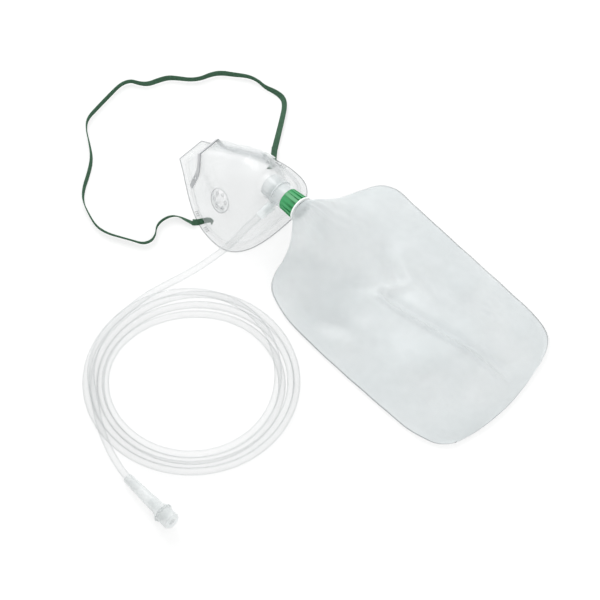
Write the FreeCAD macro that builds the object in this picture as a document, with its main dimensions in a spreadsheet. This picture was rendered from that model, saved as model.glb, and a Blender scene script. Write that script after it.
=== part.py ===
"""Adult high-concentration oxygen mask with its reservoir bag, oxygen tubing and head strap.

The mask lies face down on its rim, nose towards -X. Its chin port points towards +X and holds a
turning connector, which carries a non-return valve, the oxygen tubing and the reservoir bag.
Everything is in millimetres, +Z up, and the resting surface is Z = 0.
"""

import FreeCAD
import Part
import Sketcher
import math
import os

from FreeCAD import Placement, Rotation, Vector

# Driving dimensions, in mm or degrees: (name, value, what it is)
DIMENSIONS = [
    ("mask_length", 116.0, "rim length, nose end to chin"),
    ("mask_width", 104.0, "rim width"),
    ("mask_height", 77.0, "height of the dome over the rim"),
    ("mask_wall", 1.4, "wall of the face piece"),
    ("mask_chin_x", -78.0, "chin end of the rim"),
    ("mask_centre_y", -21.0, "symmetry plane of the mask"),
    ("nose_end_width", 28.0, "width of the straight nose end"),
    ("flange_thickness", 1.2, "thickness of the flat rim"),
    ("flange_width", 6.0, "width of the flat rim round the dome"),
    ("slot_play_along", 1.0, "strap slot longer than the strap is wide"),
    ("slot_play_across", 1.2, "strap slot wider than the strap is thick"),
    ("slot_edge", 4.4, "slot centre to the rim's edge"),
    ("slot_from_chin", 54.0, "slot centre ahead of the chin end"),
    ("vent_from_chin", 40.0, "vent centre ahead of the chin end"),
    ("vent_height", 32.0, "vent centre over the rim"),
    ("vent_radius", 11.5, "outer radius of a vent's seat"),
    ("vent_hole_radius", 1.3, "radius of one vent hole"),
    ("vent_circle_inset", 4.5, "hole circle inside the vent's edge"),
    ("vent_hole_count", 6, "holes in each vent"),
    ("vent_seat_step", 1.2, "seat's height over the middle of the cheek"),
    ("flap_inset", 0.9, "flap's edge inside the vent's edge"),
    ("flap_thickness", 0.6, "exhalation flap and inspiratory disc"),
    ("flap_travel", 1.5, "how far either valve disc lifts"),
    ("stud_radius", 1.6, "stem that holds a valve disc"),
    ("stud_head_radius", 3.0, "head of that stem"),
    ("stud_head_height", 1.0, "height of that head"),
    ("stem_slack", 0.3, "play of a lifted valve disc under the head"),
    ("disc_gap", 0.05, "gap between a closed valve disc and its seat"),
    ("clip_width", 5.0, "nose clip strip"),
    ("clip_thickness", 0.8, "nose clip strip"),
    ("clip_station", 33.0, "nose clip's foot behind the nose end"),
    ("clip_lean", 16.0, "how far the clip leans towards the nose, degrees"),
    ("clip_foot_height", 7.0, "height of the clip's ends over the rim"),
    ("clip_post_radius", 1.2, "moulded post through each end of the clip"),
    ("clip_gap", 0.08, "gap between the clip and the dome"),
    ("post_clearance", 0.1, "gap round each clip post"),
    ("port_reach", 0.0, "port's mouth past the chin end of the rim"),
    ("port_height", 66.0, "height of the port's axis at its mouth"),
    ("port_pitch", 8.0, "how far the port points up, degrees"),
    ("port_wall", 1.44, "wall of the mask's port"),
    ("port_length", 22.0, "port from inside the dome to its mouth"),
    ("spigot_wall", 2.3, "wall of the spigot that turns in the port"),
    ("spigot_length", 13.0, "spigot inside the port"),
    ("running_clearance", 0.06, "radial gap of a turning or sliding fit"),
    ("soft_gap", 0.3, "gap between soft pieces of different bodies"),
    ("bore_radius", 8.2, "gas way through the connector"),
    ("shoulder_step", 0.2, "shoulder proud of the port"),
    ("shoulder_thickness", 1.1, "shoulder against the port's mouth"),
    ("barrel_wall", 2.5, "wall of the visible barrel"),
    ("barrel_length", 10.8, "port's mouth to the collar"),
    ("neck_wall", 1.1, "wall of the connector's neck inside the bush"),
    ("neck_length", 16.2, "neck, as long as the collar"),
    ("bush_wall", 0.8, "bush between the neck and the collar"),
    ("bush_gap", 0.1, "gap between the barrel and the bush"),
    ("bush_rim_step", 2.2, "rim of the bush at the bag, proud of the bush"),
    ("bush_rim_thickness", 1.3, "rim of the bush at the bag"),
    ("collar_small_wall", 0.5, "wall of the collar at the connector"),
    ("collar_large_wall", 1.8, "wall of the collar at the bag"),
    ("collar_rib_count", 16, "lengthwise ribs"),
    ("collar_rib_depth", 0.5, "depth of the grooves between ribs"),
    ("collar_rib_width", 2.0, "width of the grooves between ribs"),
    ("seat_thickness", 1.6, "inspiratory valve seat"),
    ("seat_station", 7.0, "seat from the spigot's end"),
    ("seat_hole_radius", 1.7, "gas holes in the seat"),
    ("seat_circle_inset", 3.4, "circle of the gas holes inside the bore"),
    ("seat_hole_count", 6, "gas holes in the seat"),
    ("disc_inset", 1.3, "disc's edge inside the bore"),
    ("inlet_station", 5.0, "oxygen inlet from the port's mouth"),
    ("inlet_sweep", 8.0, "inlet's lean towards the nose, degrees"),
    ("inlet_drop", 22.0, "inlet's lean downwards, degrees"),
    ("inlet_radius", 2.3, "oxygen inlet"),
    ("inlet_bore_radius", 1.2, "oxygen inlet"),
    ("inlet_stub", 10.0, "inlet's end past the port's outside"),
    ("cuff_stand_off", 1.5, "cuff's mouth past the port's outside"),
    ("cuff_length", 15.1, "tapered cuff on the inlet"),
    ("cuff_wall", 2.3, "wall of the cuff over the inlet"),
    ("tube_diameter", 6.5, "oxygen tubing"),
    ("coil_outer_radius", 98.4, "coil of spare tubing"),
    ("coil_inner_radius", 73.5, "coil of spare tubing"),
    ("coil_depth", 10.0, "height of the coil"),
    ("coil_x", -17.0, "coil centre"),
    ("coil_y", -188.0, "coil centre"),
    ("outlet_sleeve_length", 50.0, "soft sleeve of the end connector"),
    ("outlet_start_wall", 1.25, "wall of the sleeve round the tubing"),
    ("outlet_end_radius", 6.2, "sleeve before the lip"),
    ("outlet_lip_radius", 9.6, "lip of the end connector"),
    ("outlet_socket_radius", 8.0, "ribbed socket"),
    ("outlet_socket_length", 13.0, "ribbed socket"),
    ("outlet_bore_radius", 3.1, "bore that takes a barbed outlet"),
    ("outlet_bore_length", 30.0, "depth of that bore"),
    ("outlet_rib_count", 12, "ribs of the socket"),
    ("outlet_rib_gap_radius", 1.0, "rounded gap between two ribs of the socket"),
    ("outlet_ring", 1.0, "ring round the socket's foot"),
    ("outlet_edge", 0.8, "bevelled edge of the socket"),
    ("bag_start_x", -44.0, "shoulders of the bag"),
    ("bag_end_x", 194.0, "bottom of the bag"),
    ("bag_width", 169.0, "width of the bag over its welds"),
    ("bag_depth", 20.0, "height of the filled bag"),
    ("bag_film", 0.5, "film of the bag"),
    ("bag_weld_width", 5.0, "flat weld round the bag"),
    ("bag_weld_height", 5.0, "height of the weld over the surface"),
    ("bag_shoulder_radius", 30.0, "rounded shoulders"),
    ("bag_corner_radius", 38.0, "rounded bottom corners"),
    ("bag_swell", 7.0, "how far the bottom edge swells"),
    ("neck_tuck", 0.8, "bag's neck inside the edge of the bush's rim"),
    ("bag_slope_inset", 9.0, "first slope of the filled bag, in from the weld"),
    ("bag_crown_inset", 36.0, "flat crown of the filled bag, in from the weld"),
    ("strap_width", 6.0, "elastic head strap"),
    ("strap_thickness", 1.0, "elastic head strap"),
    ("strap_rise", 0.5, "lower edge of the strap over the surface"),
]

# Sizes that follow from the driving ones, so that what fits together stays fitted
FITS = [
    ("mask_nose_x", "mask_chin_x - mask_length", "nose end of the rim"),
    ("slot_length", "strap_width + slot_play_along", "strap slot, along the rim"),
    ("slot_width", "strap_thickness + slot_play_across", "strap slot, across the rim"),
    ("slot_station", "mask_length - slot_from_chin", "slot centre behind the nose end"),
    ("vent_station", "mask_length - vent_from_chin", "vent centre behind the nose end"),
    ("vent_circle_radius", "vent_radius - vent_circle_inset", "circle that the vent holes lie on"),
    ("flap_radius", "vent_radius - flap_inset", "exhalation flap"),
    ("port_x", "mask_chin_x + port_reach", "mouth of the mask's port"),
    ("spigot_radius", "bore_radius + spigot_wall", "spigot that turns in the port"),
    ("port_outer_radius", "spigot_radius + running_clearance + port_wall", "port of the mask"),
    ("shoulder_radius", "port_outer_radius + shoulder_step", "shoulder against the port's mouth"),
    ("barrel_radius", "bore_radius + barrel_wall", "visible barrel of the connector"),
    ("neck_radius", "bore_radius + neck_wall", "connector's neck inside the bush"),
    ("bush_rim_radius", "neck_radius + bush_wall + bush_rim_step", "rim of the bush at the bag"),
    ("collar_small_radius", "neck_radius + bush_wall + collar_small_wall", "collar at the connector"),
    ("collar_large_radius", "neck_radius + bush_wall + collar_large_wall", "collar at the bag"),
    ("seat_circle_radius", "bore_radius - seat_circle_inset", "circle that the gas holes lie on"),
    ("disc_radius", "bore_radius - disc_inset", "inspiratory disc"),
    ("inlet_reach", "port_outer_radius + inlet_stub", "inlet's end from the port's axis"),
    ("cuff_start", "port_outer_radius + cuff_stand_off", "cuff's mouth from the port's axis"),
    ("cuff_radius", "inlet_radius + cuff_wall", "cuff at the connector"),
    ("outlet_start_radius", "tube_diameter / 2 + outlet_start_wall", "sleeve at the tubing"),
    ("strap_height", "strap_width / 2 + strap_rise", "height of the strap's middle line"),
]

# How far the tubing runs straight out of its cuff, and the lead's points after that, laid by hand
LEAD_STRAIGHT = 16.0
LEAD_ROUTE = [
    (-82.0, -74.5, 36.5),
    (-88.5, -87.0, 22.5),
    (-94.5, -101.5, 12.0),
    (-100.2, -117.5, 6.0),
    (-105.5, -135.5, 4.2),
    (-109.3, -155.5, 4.2),
    (-109.8, -176.0, 4.3),
]

# The tail from the coil to the end connector, and that connector's far end, laid by hand
TAIL_ROUTE = [
    (-60.0, -265.0, 4.4),
    (-42.5, -277.5, 4.2),
    (-22.0, -287.5, 4.0),
    (-1.5, -293.8, 4.2),
    (15.5, -296.8, 4.9),
]
OUTLET_END = (78.5, -301.8, 11.7)

# The strap from the slot nearest the viewer, round, to the far slot, laid by hand
STRAP_ROUTE = [
    (-134.5, -72.2),
    (-141.3, -74.8),
    (-149.0, -77.0),
    (-154.6, -82.0),
    (-157.0, -91.0),
    (-155.6, -99.5),
    (-150.0, -105.5),
    (-147.6, -113.0),
    (-151.0, -120.5),
    (-159.0, -124.4),
    (-169.9, -130.2),
    (-180.5, -135.9),
    (-192.5, -138.4),
    (-207.0, -134.3),
    (-220.5, -128.8),
    (-229.5, -119.5),
    (-237.6, -105.6),
    (-247.3, -92.2),
    (-260.5, -82.8),
    (-273.4, -75.0),
    (-280.6, -66.5),
    (-282.6, -52.0),
    (-284.9, -33.0),
    (-286.2, -20.0),
    (-282.8, -10.8),
    (-275.0, -7.2),
    (-269.0, -1.8),
    (-265.8, 7.2),
    (-261.8, 15.8),
    (-254.3, 22.3),
    (-246.5, 28.2),
    (-240.6, 36.0),
    (-237.6, 45.5),
    (-232.6, 53.6),
    (-222.8, 60.8),
    (-212.6, 69.0),
    (-203.4, 72.0),
    (-193.8, 71.8),
    (-184.2, 75.2),
    (-174.8, 76.2),
    (-167.8, 71.6),
    (-159.6, 60.3),
    (-149.6, 45.6),
    (-141.4, 33.4),
]


class Size:
    """A dimension as a number together with the expression that binds it to the sheet."""

    def __init__(self, number, text):
        self.number = number
        self.text = text

    def _join(self, other, sign, number):
        text = other.text if isinstance(other, Size) else repr(float(other))
        return Size(number, "(%s %s %s)" % (self.text, sign, text))

    def __add__(self, other):
        return self._join(other, "+", self.number + plain(other))

    def __sub__(self, other):
        return self._join(other, "-", self.number - plain(other))

    def __mul__(self, other):
        return self._join(other, "*", self.number * plain(other))


def plain(value):
    """The number of a Size, or the value itself."""
    return value.number if isinstance(value, Size) else value


def make_sheet(doc):
    """Puts every driving dimension and every fit in the spreadsheet, one row each."""
    sheet = doc.addObject("Spreadsheet::Sheet", "Sizes")
    fits = [(name, "=" + formula, note) for name, formula, note in FITS]
    for row, (name, value, note) in enumerate(DIMENSIONS + fits, start=1):
        sheet.set("A%d" % row, name)
        sheet.set("B%d" % row, str(value))
        sheet.setAlias("B%d" % row, name)
        sheet.set("C%d" % row, note)
    doc.recompute()
    return sheet


doc = FreeCAD.newDocument("OxygenMask")
sheet = make_sheet(doc)
nodes = []


def size(name):
    """One driving dimension from the sheet."""
    return Size(float(sheet.get(name)), "Sizes." + name)


def num(name):
    """The number of one driving dimension."""
    return float(sheet.get(name))


def bind(thing, prop, value):
    """Binds a property to a Size, or sets a plain number."""
    if isinstance(value, Size):
        thing.setExpression(prop, value.text)
    else:
        setattr(thing, prop, value)


def keep(thing, label, placement=None):
    """Names a finished sub-part, places it and lists it for writing."""
    thing.Label = label
    if placement is not None:
        thing.Placement = placement
    nodes.append(thing)
    return thing


# ---------------------------------------------------------------- shared frames and shapes


def port_direction():
    """Unit vector along the port, from the mask to the bag."""
    pitch = math.radians(num("port_pitch"))
    return Vector(math.cos(pitch), 0, math.sin(pitch))


def port_point(station, rise=0.0):
    """A point on the port's axis, station mm past its mouth, or rise mm square above the axis."""
    along = port_direction()
    above = Vector(-along.z, 0, along.x)
    mouth = Vector(num("port_x"), num("mask_centre_y"), num("port_height"))
    return mouth + along * station + above * rise


def port_placement(station):
    """Local +Z along the port, local origin station mm past its mouth."""
    return Placement(port_point(station), Rotation(Vector(0, 1, 0), 90 - num("port_pitch")))


def aimed(point, direction):
    """Local +Z along direction, local origin at point."""
    return Placement(point, Rotation(Vector(0, 0, 1), direction))


def inlet_direction():
    """Unit vector of the oxygen inlet: sideways, leaning back and down."""
    back = math.tan(math.radians(num("inlet_sweep")))
    down = math.tan(math.radians(num("inlet_drop")))
    return Vector(-back, -1, -down).normalize()


def solid_cylinder(point, direction, radius, length):
    """A plain cylinder as a shape."""
    return Part.makeCylinder(radius, length, point, direction)


def lofted(wires, ruled):
    """A solid through closed wires, its faces turned outwards."""
    shape = Part.makeLoft(wires, True, ruled)
    if shape.Volume < 0:
        shape.reverse()
    return shape


def ring_of(count, radius):
    """Points spaced evenly round a circle about the origin."""
    turn = 2 * math.pi / count
    return [Vector(radius * math.cos(i * turn), radius * math.sin(i * turn), 0) for i in range(count)]


def cylinder(name, radius, height, placement):
    """A parametric cylinder bound to the sheet."""
    thing = doc.addObject("Part::Cylinder", name)
    bind(thing, "Radius", radius)
    bind(thing, "Height", height)
    thing.Placement = placement
    return thing


def origin_plane(body, role):
    """One of a body's own origin planes."""
    return [f for f in body.Origin.OriginFeatures if f.Role == role][0]


def new_sketch(body, name, role):
    """A sketch on one of the body's origin planes."""
    sketch = body.newObject("Sketcher::SketchObject", name)
    sketch.AttachmentSupport = (origin_plane(body, role), [""])
    sketch.MapMode = "FlatFace"
    return sketch


def pin_point(sketch, index, across, up):
    """Fixes the start point of one sketch edge, each coordinate bound to its size."""
    for kind, value, axis in (("DistanceX", across, -2), ("DistanceY", up, -1)):
        if plain(value) == 0:
            sketch.addConstraint(Sketcher.Constraint("PointOnObject", index, 1, axis))
            continue
        number = sketch.addConstraint(Sketcher.Constraint(kind, -1, 1, index, 1, plain(value)))
        if isinstance(value, Size):
            sketch.setExpression("Constraints[%d]" % number, value.text)


def revolved_body(name, profile):
    """A body turned about its own Z from a closed profile of (radius, height) points."""
    body = doc.addObject("PartDesign::Body", name)
    sketch = new_sketch(body, name + "_profile", "XZ_Plane")
    corners = [Vector(plain(r), plain(h), 0) for r, h in profile]
    count = len(corners)
    for i in range(count):
        sketch.addGeometry(Part.LineSegment(corners[i], corners[(i + 1) % count]), False)
    for i in range(count):
        sketch.addConstraint(Sketcher.Constraint("Coincident", i, 2, (i + 1) % count, 1))
    for i, (radius, height) in enumerate(profile):
        pin_point(sketch, i, radius, height)
    turned = body.newObject("PartDesign::Revolution", name + "_turned")
    turned.Profile = sketch
    turned.ReferenceAxis = (sketch, ["V_Axis"])
    turned.Angle = 360
    doc.recompute()
    return body


def circle_sketch(body, name, radius, offset=0):
    """A sketch on the body's XY plane with one circle, offset along X."""
    sketch = new_sketch(body, name, "XY_Plane")
    sketch.addGeometry(Part.Circle(Vector(plain(offset), 0, 0), Vector(0, 0, 1), plain(radius)), False)
    number = sketch.addConstraint(Sketcher.Constraint("Radius", 0, plain(radius)))
    sketch.setExpression("Constraints[%d]" % number, radius.text)
    if plain(offset) == 0:
        sketch.addConstraint(Sketcher.Constraint("Coincident", 0, 3, -1, 1))
        return sketch
    sketch.addConstraint(Sketcher.Constraint("PointOnObject", 0, 3, -1))
    number = sketch.addConstraint(Sketcher.Constraint("DistanceX", -1, 1, 0, 3, plain(offset)))
    sketch.setExpression("Constraints[%d]" % number, offset.text)
    return sketch


def cut_through(body, sketch, name):
    """A pocket right through the body, in the direction that removes material."""
    before = body.Shape.Volume
    pocket = body.newObject("PartDesign::Pocket", name)
    pocket.Profile = sketch
    pocket.Type = 1
    doc.recompute()
    if body.Shape.Volume > before - 1e-6:
        pocket.Reversed = True
        doc.recompute()
    if body.Shape.Volume > before - 1e-6:
        raise RuntimeError(name + " removes nothing")
    return pocket


def repeat_round(body, feature, name, count):
    """Repeats a feature evenly round the body's Z axis."""
    pattern = body.newObject("PartDesign::PolarPattern", name)
    pattern.Originals = [feature]
    pattern.Axis = ([f for f in body.Origin.OriginFeatures if f.Role == "Z_Axis"][0], [""])
    pattern.Angle = 360
    bind(pattern, "Occurrences", count)
    body.Tip = pattern
    doc.recompute()
    return pattern


def corner_radius(before, corner, after):
    """Radius of the arc at one corner of a cord's route, and half the turn there."""
    run_in = corner - before
    run_out = after - corner
    half_turn = run_in.getAngle(run_out) / 2
    shorter = min(run_in.Length, run_out.Length)
    return 0.45 * shorter / math.tan(half_turn), 0.45 * shorter


def route_wire(points, label):
    """Straight runs joined by tangent arcs, each arc as large as its runs allow."""
    edges = []
    radii = []
    start = points[0]
    for before, corner, after in zip(points, points[1:], points[2:]):
        radius, setback = corner_radius(before, corner, after)
        into = (corner - before).normalize()
        out = (after - corner).normalize()
        arc_start = corner - into * setback
        arc_end = corner + out * setback
        middle = (arc_start + arc_end) * 0.5
        inward = (middle - corner).normalize()
        centre = corner + inward * math.hypot(radius, setback)
        arc_middle = centre - inward * radius
        edges.append(Part.LineSegment(start, arc_start).toShape())
        edges.append(Part.Arc(arc_start, arc_middle, arc_end).toShape())
        radii.append(radius)
        start = arc_end
    edges.append(Part.LineSegment(start, points[-1]).toShape())
    print(label, "radii", ", ".join("%.0f" % r for r in radii))
    return Part.Wire(edges)


def swept(label, points, section_wire, area):
    """A solid of one section along a route, its volume compared with section times length."""
    path = route_wire(points, label)
    solid = path.makePipeShell([section_wire], True, False)
    expected = area * path.Length
    if abs(solid.Volume - expected) > 0.02 * expected:
        raise RuntimeError("%s has volume %.1f, expected %.1f" % (label, solid.Volume, expected))
    print(label, "length %.1f" % path.Length)
    thing = doc.addObject("Part::Feature", label)
    thing.Shape = solid
    return keep(thing, label)


# ---------------------------------------------------------------- mask


def width_share(share, nose_share, widest):
    """Half width at a share of the length, as a share of the greatest half width."""
    rise = math.sin(math.pi / 2 * min(share / widest, 1.0)) ** 1.15
    fall = (max(share - widest, 0.0) / (1 - widest)) ** 2.8
    return (nose_share + (1 - nose_share) * rise) * max(0.0, 1 - fall) ** (1 / 2.6)


def mask_outline(nose_x, chin_x, half_width, nose_half, widest, height):
    """A closed outline at one height: a straight nose end, flaring sides and a rounded chin."""
    length = chin_x - nose_x
    centre_y = num("mask_centre_y")
    shares = [widest * i / 4 for i in range(4)]
    shares += [widest + (1 - widest) * math.sin(math.pi / 2 * i / 5) for i in range(5)]
    side = []
    for share in shares:
        width = half_width * width_share(share, nose_half / half_width, widest)
        side.append(Vector(nose_x + share * length, centre_y + width, height))
    chin = Vector(chin_x, centre_y, height)
    mirror = [Vector(p.x, 2 * centre_y - p.y, height) for p in reversed(side)]
    curve = Part.BSplineCurve()
    curve.interpolate(Points=side + [chin] + mirror)
    nose_end = Part.LineSegment(mirror[-1], side[0])
    return Part.Wire([curve.toShape(), nose_end.toShape()])


# Dome levels: shares of its height, of its length lost at nose and chin, of its width, of the
# nose end's width, and where along its length it is widest
DOME_LEVELS = [
    (0.0, 0.00, 0.00, 1.00, 1.00, 0.72),
    (0.16, 0.06, 0.00, 0.84, 0.95, 0.70),
    (0.43, 0.17, 0.01, 0.67, 0.85, 0.62),
    (0.65, 0.31, 0.03, 0.60, 0.85, 0.55),
    (0.80, 0.45, 0.06, 0.46, 0.75, 0.52),
    (0.91, 0.58, 0.09, 0.33, 0.62, 0.50),
    (0.975, 0.71, 0.12, 0.18, 0.38, 0.50),
    (1.0, 0.80, 0.14, 0.08, 0.16, 0.50),
]
RIM_WIDEST = 0.72


def dome(inset):
    """The dome as a closed solid, its surface moved inwards by inset."""
    length = num("mask_length") - 2 * num("flange_width")
    nose = num("mask_nose_x") + num("flange_width")
    chin = nose + length
    half_width = num("mask_width") / 2 - num("flange_width")
    nose_half = num("nose_end_width") / 2 - num("flange_width") / 3
    wires = []
    for up, back, front, wide, tip, widest in DOME_LEVELS:
        wires.append(
            mask_outline(
                nose + back * length + 1.2 * inset,
                chin - front * length - inset,
                max(half_width * wide - inset, 2.0),
                max(nose_half * tip - inset, 0.8),
                widest,
                up * (num("mask_height") - inset),
            )
        )
    return lofted(wires, False)


def flange():
    """The flat rim, before its slots."""
    outline = mask_outline(
        num("mask_nose_x"),
        num("mask_nose_x") + num("mask_length"),
        num("mask_width") / 2,
        num("nose_end_width") / 2,
        RIM_WIDEST,
        0,
    )
    return Part.Face(outline).extrude(Vector(0, 0, num("flange_thickness")))


def surface_point(start, direction, skin):
    """Where a line from inside the dome leaves it."""
    line = Part.makeLine(start, start + direction * 200)
    inside = line.common(skin)
    return max((v.Point for v in inside.Vertexes), key=lambda p: (p - start).Length)


def vent_frame(side, skin):
    """Centre and outward normal of the vent in one cheek, side -1 near or +1 far."""
    normal = Vector(-0.12, side * 0.88, 0.46).normalize()
    start = Vector(num("mask_nose_x") + num("vent_station"), num("mask_centre_y"), num("vent_height") - 14)
    return surface_point(start, normal, skin), normal


def vent_holes(centre, normal):
    """The ring of small holes in one vent, with the hole in its middle."""
    place = aimed(centre - normal * 8, normal)
    shapes = []
    for point in ring_of(int(num("vent_hole_count")), num("vent_circle_radius")):
        shapes.append(solid_cylinder(place.multVec(point), normal, num("vent_hole_radius"), 16))
    return shapes


def slot_centre(side):
    """Middle of the strap slot on one side of the rim."""
    station = num("slot_station")
    across = rim_half_width(station) - num("slot_edge")
    return Vector(num("mask_nose_x") + station, num("mask_centre_y") + side * across, 0)


def rim_half_width(station):
    """Half width of the rim's outline, station mm behind the nose end."""
    share = station / num("mask_length")
    nose_share = num("nose_end_width") / num("mask_width")
    return num("mask_width") / 2 * width_share(share, nose_share, RIM_WIDEST)


def slot_turn(side):
    """Angle of the rim at the slot, about Z."""
    step = 2.0
    ahead = rim_half_width(num("slot_station") + step)
    behind = rim_half_width(num("slot_station") - step)
    return side * math.degrees(math.atan2(ahead - behind, 2 * step))


def slot_tool(side):
    """The block that cuts one strap slot."""
    length = num("slot_length")
    width = num("slot_width")
    block = Part.makeBox(length, width, 8, Vector(-length / 2, -width / 2, -2))
    block.Placement = Placement(slot_centre(side), Rotation(Vector(0, 0, 1), slot_turn(side)))
    return block


def clip_slab(width):
    """A leaning slab across the nose, as wide as the strip."""
    foot_x = num("mask_nose_x") + num("clip_station")
    slab = Part.makeBox(width, 200, 200, Vector(-width / 2, -100, num("clip_foot_height") - 2))
    slab = slab.common(Part.makeBox(400, 400, 200, Vector(-200, -200, num("clip_foot_height"))))
    slab.Placement = Placement(
        Vector(foot_x, num("mask_centre_y"), 0), Rotation(Vector(0, 1, 0), -num("clip_lean"))
    )
    return slab


def clip_post(side, skin, radius):
    """The moulded post through one end of the nose clip."""
    normal = Vector(-0.45, side * 0.8, 0.4).normalize()
    lean = math.tan(math.radians(num("clip_lean")))
    height = num("clip_foot_height") + 4.5
    start = Vector(
        num("mask_nose_x") + num("clip_station") - lean * height,
        num("mask_centre_y"),
        height,
    )
    side_point = surface_point(start, Vector(0, side, 0), skin)
    return solid_cylinder(side_point - normal * 1.0, normal, radius, 1.0 + num("clip_thickness") + 1.5)


def mask_shell():
    """The clear face piece: dome, rim, port, vents, strap slots and clip posts in one moulding."""
    skin = dome(0)
    hollow = dome(num("mask_wall"))
    shell = skin.fuse(flange())
    port = solid_cylinder(
        port_point(-num("port_length")), port_direction(), num("port_outer_radius"), num("port_length")
    )
    shell = shell.fuse(port)
    for side in (-1, 1):
        centre, normal = vent_frame(side, skin)
        seat = solid_cylinder(centre - normal * 4, normal, num("vent_radius"), 4 + num("vent_seat_step"))
        shell = shell.fuse(seat)
        shell = shell.fuse(clip_post(side, skin, num("clip_post_radius")))
    shell = shell.cut(hollow)
    past = num("spigot_radius")
    way = num("spigot_radius") + num("running_clearance")
    shell = shell.cut(
        solid_cylinder(
            port_point(-num("port_length") - past), port_direction(), way, num("port_length") + 2 * past
        )
    )
    for side in (-1, 1):
        centre, normal = vent_frame(side, skin)
        seat_plane = centre + normal * num("vent_seat_step")
        shell = shell.cut(solid_cylinder(seat_plane, normal, num("vent_radius"), num("vent_radius")))
        for hole in vent_holes(centre, normal):
            shell = shell.cut(hole)
        shell = shell.cut(slot_tool(side))
    centre, normal = vent_frame(1, skin)
    shell = shell.cut(solid_cylinder(centre - normal * 8, normal, num("stud_radius"), 16))
    thing = doc.addObject("Part::Feature", "mask_shell")
    thing.Shape = largest_solid(shell.removeSplitter())
    return keep(thing, "mask_shell")


def largest_solid(shape):
    """The main solid of a boolean result, without crumbs."""
    return max(shape.Solids, key=lambda s: s.Volume)


def nose_clip():
    """The bendable aluminium strip that follows the nose ridge."""
    skin = dome(0)
    gap = num("clip_gap")
    strip = dome(-gap - num("clip_thickness")).cut(dome(-gap)).common(clip_slab(num("clip_width")))
    for side in (-1, 1):
        strip = strip.cut(clip_post(side, skin, num("clip_post_radius") + num("post_clearance")))
    thing = doc.addObject("Part::Feature", "nose_clip")
    thing.Shape = largest_solid(strip)
    return keep(thing, "nose_clip")


def flap_body(name, radius):
    """A thin valve disc with a hole for its stem."""
    hole = size("stud_radius") + size("running_clearance")
    return revolved_body(
        name, [(hole, 0), (radius, 0), (radius, size("flap_thickness")), (hole, size("flap_thickness"))]
    )


def stud_body(name, root, stem):
    """A headed stem: root mm into its seat and stem mm proud of it."""
    stem_radius = size("stud_radius")
    top = stem + size("stud_head_height")
    return revolved_body(
        name,
        [
            (0, 0),
            (stem_radius, 0),
            (stem_radius, root),
            (stem_radius, stem),
            (size("stud_head_radius"), stem),
            (size("stud_head_radius"), top),
            (0, top),
        ],
    )


def exhalation_valve():
    """The flap over the far vent, and the stud that holds it."""
    centre, normal = vent_frame(1, dome(0))
    seat = centre + normal * (num("vent_seat_step") + num("disc_gap"))
    keep(flap_body("exhalation_flap", size("flap_radius")), "exhalation_flap", aimed(seat, normal))
    root = size("flap_thickness") + size("flap_travel") + size("stem_slack")
    stud = stud_body("exhalation_stud", size("mask_wall"), size("mask_wall") + root + size("vent_seat_step"))
    keep(stud, "exhalation_stud", aimed(centre - normal * num("mask_wall"), normal))


# ---------------------------------------------------------------- connector


def connector_body():
    """The turning connector: spigot, shoulder, barrel, neck and oxygen inlet."""
    base = size("spigot_length") + 0.1
    shoulder = base + size("shoulder_thickness")
    barrel = base + size("barrel_length")
    end = barrel + size("neck_length")
    bore = size("bore_radius")
    turned = revolved_body(
        "connector_turned",
        [
            (bore, 0),
            (size("spigot_radius"), 0),
            (size("spigot_radius"), base),
            (size("shoulder_radius"), base),
            (size("shoulder_radius"), shoulder),
            (size("barrel_radius"), shoulder),
            (size("barrel_radius"), barrel),
            (size("neck_radius"), barrel),
            (size("neck_radius"), end),
            (bore, end),
        ],
    )
    turned.Placement = port_placement(-num("spigot_length"))
    axis_point = port_point(num("inlet_station"))
    direction = inlet_direction()
    start = (num("bore_radius") + num("barrel_radius")) / 2
    pipe = cylinder(
        "inlet_pipe",
        size("inlet_radius"),
        size("inlet_reach") - start,
        aimed(axis_point + direction * start, direction),
    )
    joined = doc.addObject("Part::Fuse", "connector_joined")
    joined.Base = turned
    joined.Tool = pipe
    drill = size("inlet_reach") + 2
    way = cylinder("inlet_way", size("inlet_bore_radius"), drill, aimed(axis_point, direction))
    body = doc.addObject("Part::Cut", "connector_body")
    body.Base = joined
    body.Tool = way
    doc.recompute()
    return keep(body, "connector_body")


def valve_seat():
    """The perforated plate that the inspiratory disc closes on."""
    body = doc.addObject("PartDesign::Body", "valve_seat")
    plate = body.newObject("PartDesign::Pad", "seat_plate")
    plate.Profile = circle_sketch(body, "seat_outline", size("bore_radius"))
    bind(plate, "Length", size("seat_thickness"))
    doc.recompute()
    hole = cut_through(
        body,
        circle_sketch(body, "gas_hole", size("seat_hole_radius"), size("seat_circle_radius")),
        "gas_hole_cut",
    )
    repeat_round(body, hole, "gas_holes", size("seat_hole_count"))
    cut_through(body, circle_sketch(body, "stud_hole", size("stud_radius")), "stud_hole_cut")
    return keep(body, "valve_seat", port_placement(seat_station()))


def seat_station():
    """The seat's mask-side face, from the port's mouth."""
    return num("seat_station") - num("spigot_length")


def inspiratory_valve():
    """The disc on the mask side of the seat, and the stud that holds it."""
    toward_mask = port_direction() * -1
    face = port_point(seat_station() - num("disc_gap"))
    keep(flap_body("inspiratory_disc", size("disc_radius")), "inspiratory_disc", aimed(face, toward_mask))
    root = size("seat_thickness")
    stem = root + size("flap_thickness") + size("flap_travel") + size("stem_slack")
    stud = stud_body("inspiratory_stud", root, stem)
    keep(stud, "inspiratory_stud", aimed(port_point(seat_station() + num("seat_thickness")), toward_mask))


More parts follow.
